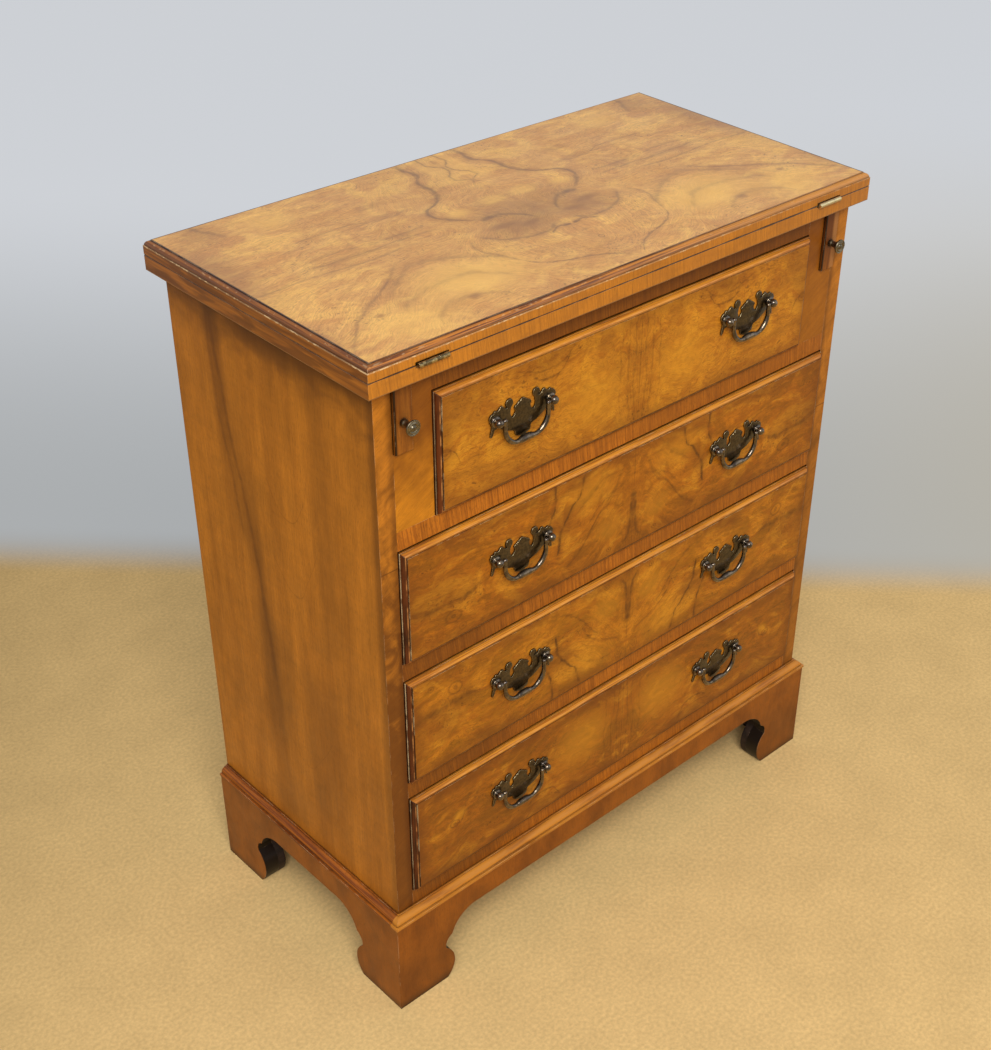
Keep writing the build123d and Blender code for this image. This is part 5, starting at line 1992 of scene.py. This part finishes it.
def pinned_edge() -> bpy.types.NodeTree:
    """Drives small pin heads along the line it is given, each of a slightly different size.

    Returns:
        The tree, with inputs for the count of pins, their radius and their finish.
    """
    kinds = {"Count": "NodeSocketInt", "Radius": "NodeSocketFloat", "Finish": "NodeSocketMaterial"}
    tree, put = new_growth("pinned_edge", kinds)
    given = put(Kind.GROUP_IN).node.outputs
    line = put(Kind.TO_CURVE, {"Mesh": given["Geometry"]})
    points = put(Kind.EVEN_POINTS, {"Curve": line, "Count": given["Count"]})
    ring = put(Kind.CIRCLE, {"Resolution": 10, "Radius": given["Radius"]})
    foot, tall = (0.0, -0.4 * MM, 0.0), (0.0, 0.7 * MM, 0.0)
    stalk = put(Kind.ROW, {"Count": 2, "Start Location": foot, "Offset": tall})
    shank = put(Kind.TO_CURVE, {"Mesh": stalk})
    head = put(Kind.FOLLOW, {"Curve": shank, "Profile Curve": ring, "Fill Caps": True})
    size = put(Kind.RANDOM, {"Min": 0.8, "Max": 1.15, "Seed": 11})
    pins = put(Kind.REPEAT, {"Points": points, "Instance": head, "Scale": size})
    end_growth(put, pins, given["Finish"])
    return tree


def grown(
    mesh: bpy.types.Mesh, tree: bpy.types.NodeTree, sizes: Mapping[str, object]
) -> bpy.types.Mesh:
    """Runs a mesh through a Geometry Nodes tree.

    Args:
        mesh: What the tree is given.
        tree: The tree.
        sizes: The value of each named input.

    Returns:
        The result as a plain mesh.
    """
    holder = bpy.data.objects.new(mesh.name, mesh)
    modifier = holder.modifiers.new(tree.name, "NODES")
    modifier.node_group = tree
    for item in tree.interface.items_tree:
        if item.in_out == "INPUT" and item.name in sizes:
            modifier[item.identifier] = sizes[item.name]
    return baked(holder)


def stand(name: str, mesh: bpy.types.Mesh, body: str, replaced: Sequence[str] = ()) -> None:
    """Puts a finished piece in the scene, on its body and in place of its nodes.

    Args:
        name: The piece's name.
        mesh: Its mesh, already in place.
        body: The body it rides on.
        replaced: The nodes that it stands for.
    """
    piece = bpy.data.objects.new(name, mesh)
    bpy.context.scene.collection.objects.link(piece)
    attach(piece, body)
    if replaced:
        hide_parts(*replaced)
    log.info("%s: %d faces on %s", name, len(mesh.polygons), body)


# Turned pieces are made upright and laid with their heads towards the front.
TO_FRONT = Matrix.Rotation(math.radians(90), 4, "X")


@dataclass(frozen=True)
class PlateOutline:
    """The cut outline of a pull's back plate, half of it. Each step is a point, or the middle and
    the end of an arc, as shares of the half width and of the height."""

    half: float = 39.8
    height: float = 44.4
    drop: float = 26.6
    start: Pair = (0.0, 0.875)
    steps: tuple[tuple[Pair, ...], ...] = (
        ((0.045, 0.862), (0.08, 0.828)),
        ((0.13, 0.808), (0.165, 0.778)),
        ((0.225, 0.755), (0.258, 0.715)),
        ((0.236, 0.685), (0.222, 0.65)),
        ((0.235, 0.6), (0.268, 0.56)),
        ((0.318, 0.525), (0.358, 0.575)),
        ((0.378, 0.65), (0.366, 0.73)),
        ((0.355, 0.773), (0.334, 0.8)),
        ((0.3066, 0.833), (0.296, 0.874)),
        ((0.328, 0.9424), (0.4045, 0.9707)),
        ((0.481, 0.9424), (0.5126, 0.874)),
        ((0.5025, 0.833), (0.478, 0.803)),
        ((0.482, 0.788), (0.5, 0.79)),
        ((0.538, 0.8), (0.575, 0.835)),
        ((0.63, 0.88), (0.7, 0.848)),
        ((0.745, 0.805), (0.79, 0.815)),
        ((0.84, 0.83), (0.875, 0.775)),
        ((0.93, 0.775), (0.97, 0.735)),
        ((1.0, 0.68), (0.97, 0.6)),
        ((0.93, 0.53), (0.93, 0.44)),
        ((0.96, 0.34), (0.965, 0.265)),
        ((0.92, 0.27), (0.87, 0.35)),
        ((0.85, 0.4), (0.8, 0.41)),
        ((0.735, 0.42), (0.67, 0.385)),
        ((0.58, 0.335), (0.49, 0.285)),
        ((0.4, 0.25), (0.31, 0.225)),
        ((0.25, 0.2), (0.235, 0.14)),
        ((0.2, 0.075), (0.13, 0.055)),
        ((0.06, 0.02), (0.0, 0.0)),
    )
    count: int = 5

    def points(self) -> list[Pair]:
        """Draws the whole outline.

        Returns:
            Its points in millimetres from the posts' height, once round.
        """
        half = [self.start]
        for middle, end in self.steps:
            start = half[-1]
            for step in range(1, self.count + 1):
                t = step / self.count
                a, b, c = (1 - t) * (1 - 2 * t), 4 * t * (1 - t), t * (2 * t - 1)
                half.append(tuple(a * s + b * m + c * e for s, m, e in zip(start, middle, end)))
        right = [(x * self.half, y * self.height - self.drop) for x, y in half]
        return right + [(-x, y) for x, y in reversed(right[1:-1])]


@dataclass(frozen=True)
class BackPlate:
    """A pull's back plate: cut from thin cast metal, with a filed bevel all round."""

    outline: PlateOutline = field(default_factory=PlateOutline)
    thickness: float = 1.6
    bevel: float = 0.55
    field_plane: float = -156.3

    def mesh(self) -> bpy.types.Mesh:
        """Cuts the plate.

        Returns:
            The plate's mesh, standing against the drawer front.
        """
        curve = bpy.data.curves.new("back_plate", "CURVE")
        curve.dimensions = "2D"
        curve.fill_mode = "BOTH"
        curve.extrude = (self.thickness / 2 - self.bevel) * MM
        curve.bevel_depth = self.bevel * MM
        curve.bevel_resolution = 1
        curve.offset = -self.bevel * MM
        line = curve.splines.new("POLY")
        points = self.outline.points()
        line.points.add(len(points) - 1)
        for dot, (x, y) in zip(line.points, points):
            dot.co = (x * MM, y * MM, 0.0, 1.0)
        line.use_cyclic_u = True
        flat = baked(bpy.data.objects.new("back_plate", curve))
        middle = self.field_plane - self.thickness / 2
        return joined("back_plate", [(flat, moved(0.0, middle, 0.0) @ TO_FRONT)])


@dataclass(frozen=True)
class DrawerPulls:
    """The two swan-neck pulls of a drawer: back plates, posts with ball heads, and bails."""

    metal: bpy.types.Material
    bright: bpy.types.Material
    heights: tuple[float, ...] = (656.8, 508.4, 363.4, 218.4)
    centre: float = 151.3
    spacing: float = 66.0
    plate_face: float = -157.9
    axis: float = -162.8
    post: Turning = field(
        default_factory=lambda: Turning(
            (
                (-26.0, 0.0), (-26.0, 2.0), (-25.6, 2.4), (-25.0, 2.4), (-25.0, 4.6), (-24.4, 5.2),
                (-22.2, 5.2), (-21.6, 4.6), (-21.6, 2.4), (-0.2, 2.4), (-0.2, 5.0), (0.2, 5.35),
                (0.9, 5.4), (1.5, 5.0), (1.95, 4.2), (2.15, 3.6), (2.3, 3.3),
            )
            + ball(4.9, 4.4, 50.0, 180.0, 18)
        )
    )
    drop: float = 27.0
    elbow: float = 25.9
    bend: float = 18.0
    rise: float = 1.5
    bar: float = 2.4
    post_reach: float = 5.6
    end: Turning = field(
        default_factory=lambda: Turning(
            ball(0.0, 2.45, 0.0, 140.0, 12)
            + ((2.3, 1.5), (10.6, 1.5), (11.0, 1.1), (11.0, 0.0)),
            20,
        )
    )

    def bail_line(self) -> bpy.types.Mesh:
        """Draws the middle line of a bail, from elbow to elbow.

        Returns:
            A mesh of one open line, its pivot at the origin.
        """
        low = self.drop - self.bend
        turns = [math.radians(90 * step / 10) for step in range(11)]
        inner = self.elbow - self.bend
        half = [(-self.elbow, 0.0), (-self.elbow, -low / 2)]
        half += [(-inner - self.bend * math.cos(a), -low - self.bend * math.sin(a)) for a in turns]
        half += [(-inner * share, -self.drop) for share in (0.66, 0.33)]
        whole = half + [(0.0, -self.drop)] + [(-x, z) for x, z in reversed(half)]
        lifted = []
        for x, z in whole:
            near = max(0.0, 1 - (x / 15.0) ** 2) if z < -self.bend else 0.0
            lifted.append((x * MM, 0.0, (z + self.rise * near * near) * MM))
        mesh = bpy.data.meshes.new("bail_line")
        mesh.from_pydata(lifted, [(i, i + 1) for i in range(len(lifted) - 1)], [])
        return mesh

    def build(self) -> None:
        """Makes the pulls of every drawer."""
        row, bail = even_row(), swept_bail()
        half = self.spacing / 2
        steps = {"Count": 2, "Start": (-half * MM, 0.0, 0.0), "Step": (self.spacing * MM, 0.0, 0.0)}
        face = moved(0.0, self.plate_face, 0.0) @ TO_FRONT
        post = joined("post", [(self.post.mesh("post"), face)])
        posts = grown(post, row, {**steps, "Finish": self.bright})
        pull = joined("pull", [(BackPlate().mesh(), Matrix()), (posts, Matrix())])
        thick = {"Thickness": self.bar * MM, "Rings": 120, "Finish": self.bright}
        bar = grown(self.bail_line(), bail, thick)
        outwards = Matrix.Rotation(math.radians(90), 4, "Y")
        end = self.end.mesh("elbow")
        ends = [
            (end, moved(side * self.elbow, 0.0, 0.0) @ Matrix.Rotation(turn, 4, "Z") @ outwards)
            for side, turn in ((1, 0.0), (-1, math.pi))
        ]
        whole_bail = joined("bail", [(bar, Matrix()), *ends])
        for number, height in enumerate(self.heights, 1):
            sizes = {
                "Count": 2,
                "Start": (-self.centre * MM, 0.0, height * MM),
                "Step": (2 * self.centre * MM, 0.0, 0.0),
                "Finish": self.metal,
            }
            body = f"drawer_{number}"
            mesh = self.two_metals(grown(pull, row, sizes), height)
            stand(f"{body}_pulls", mesh, body, [f"{body}_pull_mounts"])
            for side, word in ((-1, "left"), (1, "right")):
                node = f"{body}_bail_{word}"
                at = moved(side * self.centre, self.axis, height)
                mesh = finished(joined(f"{node}_cast", [(whole_bail, at)]), self.bright)
                stand(mesh.name, mesh, node, [node])

    def two_metals(self, mesh: bpy.types.Mesh, height: float) -> bpy.types.Mesh:
        """Gives the posts the brighter metal that hands have kept clean.

        Args:
            mesh: A drawer's two pulls.
            height: The posts' height.

        Returns:
            The same mesh.
        """
        finished(mesh, self.metal, self.bright)
        for face in mesh.polygons:
            x, y, z = (value / MM for value in face.center)
            from_pull = abs(abs(x) - self.centre)
            near = math.hypot(from_pull - self.spacing / 2, z - height) < self.post_reach
            face.material_index = int(near and y < self.plate_face - 0.1)
        return mesh


@dataclass(frozen=True)
class LoperKnobs:
    """The two small turned knobs that draw the lopers out."""

    metal: bpy.types.Material
    across: float = 281.5
    height: float = 691.0
    face: float = -167.8
    shape: Turning = field(
        default_factory=lambda: Turning(
            (
                (0.0, 0.0), (0.05, 1.2), (0.35, 2.0), (0.9, 2.6), (1.5, 3.0), (1.6, 3.4),
                (1.25, 3.8), (0.95, 4.2), (0.9, 4.6), (1.15, 5.0), (1.55, 5.4), (1.7, 5.8),
                (1.45, 6.2), (1.15, 6.6), (1.15, 7.0), (1.5, 7.35), (2.1, 7.5), (2.9, 7.3),
                (3.7, 6.6), (4.6, 5.5), (5.6, 4.5), (7.0, 3.7), (8.8, 3.3), (10.6, 3.1),
                (11.4, 3.2), (11.8, 3.5), (12.4, 3.7), (13.2, 3.7), (13.9, 3.5), (15.0, 3.4),
                (15.0, 2.4), (26.6, 2.4),
                (27.0, 2.0), (27.0, 0.0),
            ),
            40,
        )
    )

    def build(self) -> None:
        """Makes both knobs."""
        to_back = Matrix.Rotation(math.radians(-90), 4, "X")
        knob = self.shape.mesh("knob")
        for side, word in ((-1, "left"), (1, "right")):
            at = moved(side * self.across, self.face, self.height) @ to_back
            mesh = finished(joined(f"loper_knob_{word}_turned", [(knob, at)]), self.metal)
            stand(mesh.name, mesh, f"loper_{word}", [f"loper_knob_{word}"])


def reshaped(node: bpy.types.Object, change: Callable[[bmesh.types.BMesh], None]) -> bpy.types.Mesh:
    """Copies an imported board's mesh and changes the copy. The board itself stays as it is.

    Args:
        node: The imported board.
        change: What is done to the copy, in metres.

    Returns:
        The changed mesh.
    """
    body = bmesh.new()
    body.from_mesh(node.data)
    bmesh.ops.transform(body, matrix=node.matrix_world, verts=body.verts)
    bmesh.ops.remove_doubles(body, verts=body.verts, dist=1e-6)
    change(body)
    mesh = bpy.data.meshes.new(f"{node.name}_copy")
    body.to_mesh(mesh)
    body.free()
    if "custom_normal" in mesh.attributes:
        mesh.attributes.remove(mesh.attributes["custom_normal"])
    return mesh


@dataclass(frozen=True)
class WornHinges:
    """The folding top's two hinges, their knuckles worn slim."""

    metal: bpy.types.Material
    middle: float = 257.0
    axis: Pair = (-164.5, 745.3)
    reach: float = 3.15
    slim: float = 0.8
    short: float = 0.91

    def build(self, nodes: Mapping[str, bpy.types.Object]) -> None:
        """Makes both halves of the hinges.

        Args:
            nodes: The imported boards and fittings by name.
        """
        for node, body in (("hinge_fixed_halves", "carcase"), ("hinge_flap_halves", "flap")):
            copied = reshaped(nodes[node], self.wear)
            mesh = finished(joined(f"{node}_worn", [(copied, Matrix())]), self.metal)
            stand(mesh.name, mesh, body, [node])

    def wear(self, body: bmesh.types.BMesh) -> None:
        """Draws the knuckles in towards their pin.

        Args:
            body: The copied halves.
        """
        y, z = (value * MM for value in self.axis)
        for vert in body.verts:
            if math.hypot(vert.co.y - y, vert.co.z - z) > self.reach * MM:
                continue
            middle = math.copysign(self.middle * MM, vert.co.x)
            vert.co.x = middle + (vert.co.x - middle) * self.short
            vert.co.y = y + (vert.co.y - y) * self.slim
            vert.co.z = z + (vert.co.z - z) * self.slim


@dataclass(frozen=True)
class FootLinings:
    """Blackened linings glued behind the bracket feet and cut to the same curve."""

    wood: bpy.types.Material
    inner_half: float = 302.5
    inner_front: float = -141.8
    reach: float = 96.0
    head: float = 104.0
    thickness: float = 9.0
    slack: float = 0.3

    def build(self, nodes: Mapping[str, bpy.types.Object]) -> None:
        """Makes the linings of the three bracket boards.

        Args:
            nodes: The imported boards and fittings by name.
        """
        parts = []
        for word, inwards in (("front", (0, 1, 0)), ("left", (1, 0, 0)), ("right", (-1, 0, 0))):
            cut = partial(self.line, inwards=Vector(inwards))
            parts.append((reshaped(nodes[f"plinth_{word}"], cut), Matrix()))
        mesh = finished(joined("foot_linings", parts), self.wood)
        stand(mesh.name, mesh, "carcase")

    def line(self, body: bmesh.types.BMesh, inwards: Vector) -> None:
        """Keeps the feet of a board's inner face and thickens them.

        Args:
            body: The copied board.
            inwards: The direction towards the chest's middle.
        """
        body.normal_update()
        axis = 1 if inwards.y else 0
        other = 1 - axis
        level = -self.inner_front if axis else self.inner_half
        outer = [
            face
            for face in body.faces
            if face.normal.dot(inwards) < 0.99
            or abs(abs(face.calc_center_median()[axis]) - level * MM) > self.slack * MM
        ]
        bmesh.ops.delete(body, geom=outer, context="FACES")
        ends = [vert.co[other] for vert in body.verts]
        middle, half = (min(ends) + max(ends)) / 2, (max(ends) - min(ends)) / 2
        across = Vector((0.0, 0.0, 0.0))
        across[other] = 1.0
        head = Vector((0, 0, self.head * MM))
        feet = half - self.reach * MM
        for point, normal, clear in (
            (head, Vector((0, 0, 1)), True),
            (across * (middle - feet), across, False),
            (across * (middle + feet), across, False),
        ):
            whole = body.verts[:] + body.edges[:] + body.faces[:]
            bmesh.ops.bisect_plane(body, geom=whole, plane_co=point, plane_no=normal, clear_outer=clear)
        apron = [face for face in body.faces if abs(face.calc_center_median()[other] - middle) < feet]
        bmesh.ops.delete(body, geom=apron, context="FACES")
        grown_out = bmesh.ops.extrude_face_region(body, geom=body.faces[:])["geom"]
        inner = [item for item in grown_out if isinstance(item, bmesh.types.BMVert)]
        bmesh.ops.translate(body, verts=inner, vec=inwards * self.thickness * MM)


@dataclass(frozen=True)
class PanelPins:
    """The pins that hold the back board to the carcase."""

    metal: bpy.types.Material
    inset: float = 9.0
    count: int = 30
    radius: float = 1.7

    def build(self) -> None:
        """Drives the pins round the back board's face."""
        low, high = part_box("back_panel")
        inset = self.inset * MM
        left, right = low[0] + inset, high[0] - inset
        foot, head = low[2] + inset, high[2] - inset
        ring = [(left, foot), (right, foot), (right, head), (left, head)]
        mesh = bpy.data.meshes.new("pin_line")
        corners = [(x, high[1], z) for x, z in ring]
        mesh.from_pydata(corners, [(0, 1), (1, 2), (2, 3), (3, 0)], [])
        sizes = {"Count": self.count, "Radius": self.radius * MM, "Finish": self.metal}
        made = grown(mesh, pinned_edge(), sizes)
        stand("back_panel_pins", made, "carcase")


@dataclass
class Studio:
    """A pale floor, soft lamps and the camera at the photograph's place."""

    image: tuple[int, int] = (991, 1050)
    focal: float = 1618.157
    principal: Pair = (576.68, 540.17)
    azimuth: float = -44.8746
    elevation: float = 33.9006
    roll: float = 1.7081
    eye: Triple = (-1000.42, -1082.66, 1362.05)
    sensor: float = 36.0
    floor_size: float = 16000.0
    wall: str = "#e9ebec"
    dim: float = 0.5
    seen: float = 0.7

    def build(self) -> None:
        """Makes the floor, the world, the lamps and the camera."""
        self.floor()
        self.world()
        self.lamps()
        self.camera()

    def floor(self) -> None:
        """Lays the floor."""
        half = self.floor_size / 2 * MM
        mesh = bpy.data.meshes.new("studio_floor")
        corners = [(-half, -half, 0), (half, -half, 0), (half, half, 0), (-half, half, 0)]
        mesh.from_pydata(corners, [], [(0, 1, 2, 3)])
        mesh.materials.append(StudioFloor().build())
        floor = bpy.data.objects.new("studio_floor", mesh)
        bpy.context.scene.collection.objects.link(floor)

    def world(self) -> None:
        """Lights the room evenly and shows a pale wall to the camera and in reflections."""
        world = bpy.data.worlds.new("studio")
        world.use_nodes = True
        tree = world.node_tree
        tree.nodes.clear()
        put = adder(tree)
        path = put(Kind.LIGHT_PATH).node.outputs
        seen = put(Kind.MAX, path["Is Camera Ray"], path["Is Glossy Ray"])
        level = put(Kind.RAMP, seen, 0.0, 1.0, self.dim, self.seen)
        back = put(Kind.BACKGROUND, {"Color": linear(self.wall), "Strength": level})
        put(Kind.WORLD, {"Surface": back})
        bpy.context.scene.world = world

    def lamps(self) -> None:
        """Hangs a large soft lamp in front and above, and a weaker one on the right."""
        target = Vector((0, 0, 0.42))
        for name, at, size, power in (
            ("key", (-1.5, -1.9, 2.7), (1.6, 1.3), 96.0),
            ("fill", (2.2, -2.2, 1.5), (2.8, 2.8), 17.0),
        ):
            lamp = bpy.data.lights.new(name, "AREA")
            lamp.shape = "RECTANGLE"
            lamp.size, lamp.size_y = size
            lamp.energy = power
            lamp.color = (1.0, 0.985, 0.96)
            holder = bpy.data.objects.new(name, lamp)
            holder.location = at
            aim = target - Vector(at)
            holder.rotation_euler = aim.to_track_quat("-Z", "Y").to_euler()
            bpy.context.scene.collection.objects.link(holder)

    def camera(self) -> None:
        """Stands the camera where the photograph was taken from."""
        turn, tip, lean = (math.radians(a) for a in (self.azimuth, self.elevation, self.roll))
        back = Vector((math.sin(turn) * math.cos(tip), -math.cos(turn) * math.cos(tip), math.sin(tip)))
        right = (-back).cross(Vector((0, 0, 1))).normalized()
        up = right.cross(-back)
        leant_right = right * math.cos(lean) + up * math.sin(lean)
        leant_up = up * math.cos(lean) - right * math.sin(lean)
        data = bpy.data.cameras.new("camera")
        longest = max(self.image)
        data.sensor_width = self.sensor
        data.lens = self.focal / longest * self.sensor
        data.shift_x = (self.image[0] / 2 - self.principal[0]) / longest
        data.shift_y = (self.principal[1] - self.image[1] / 2) / longest
        data.clip_end = 100.0
        camera = bpy.data.objects.new("camera", data)
        frame = Matrix((leant_right, leant_up, back)).transposed().to_4x4()
        frame.translation = Vector(self.eye) * MM
        camera.matrix_world = frame
        bpy.context.scene.collection.objects.link(camera)
        bpy.context.scene.camera = camera


def dress(frame: dict, finishes: dict[str, bpy.types.Material]) -> None:
    """Gives every CAD node the finish of its material slot.

    Args:
        frame: The loaded frame.
        finishes: The materials by slot or node.
    """
    slots = {part["node"]: part["material_slot"] for part in frame["record"]["subparts"]}
    for name, node in frame["nodes"].items():
        material = finishes.get(name) or finishes[slots[name]]
        finished(node.data, material)
        log.info("dressed %s with %s", name, material.name)


def main() -> None:
    """Builds the looks of the chest round its frame."""
    logging.basicConfig(level=logging.INFO, format="%(name)s: %(message)s")
    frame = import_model()
    Studio().build()
    finishes = Finishes().build()
    dress(frame, finishes)
    DrawerPulls(finishes["dark_bronze"], finishes["bright_bronze"]).build()
    LoperKnobs(finishes["knob_bronze"]).build()
    WornHinges(finishes["hinge_brass"]).build(frame["nodes"])
    FootLinings(finishes["stained_softwood"]).build(frame["nodes"])
    PanelPins(finishes["dark_bronze"]).build()
    bpy.context.scene.view_settings.view_transform = "Standard"
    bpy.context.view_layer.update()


if __name__ == "__main__":
    main()
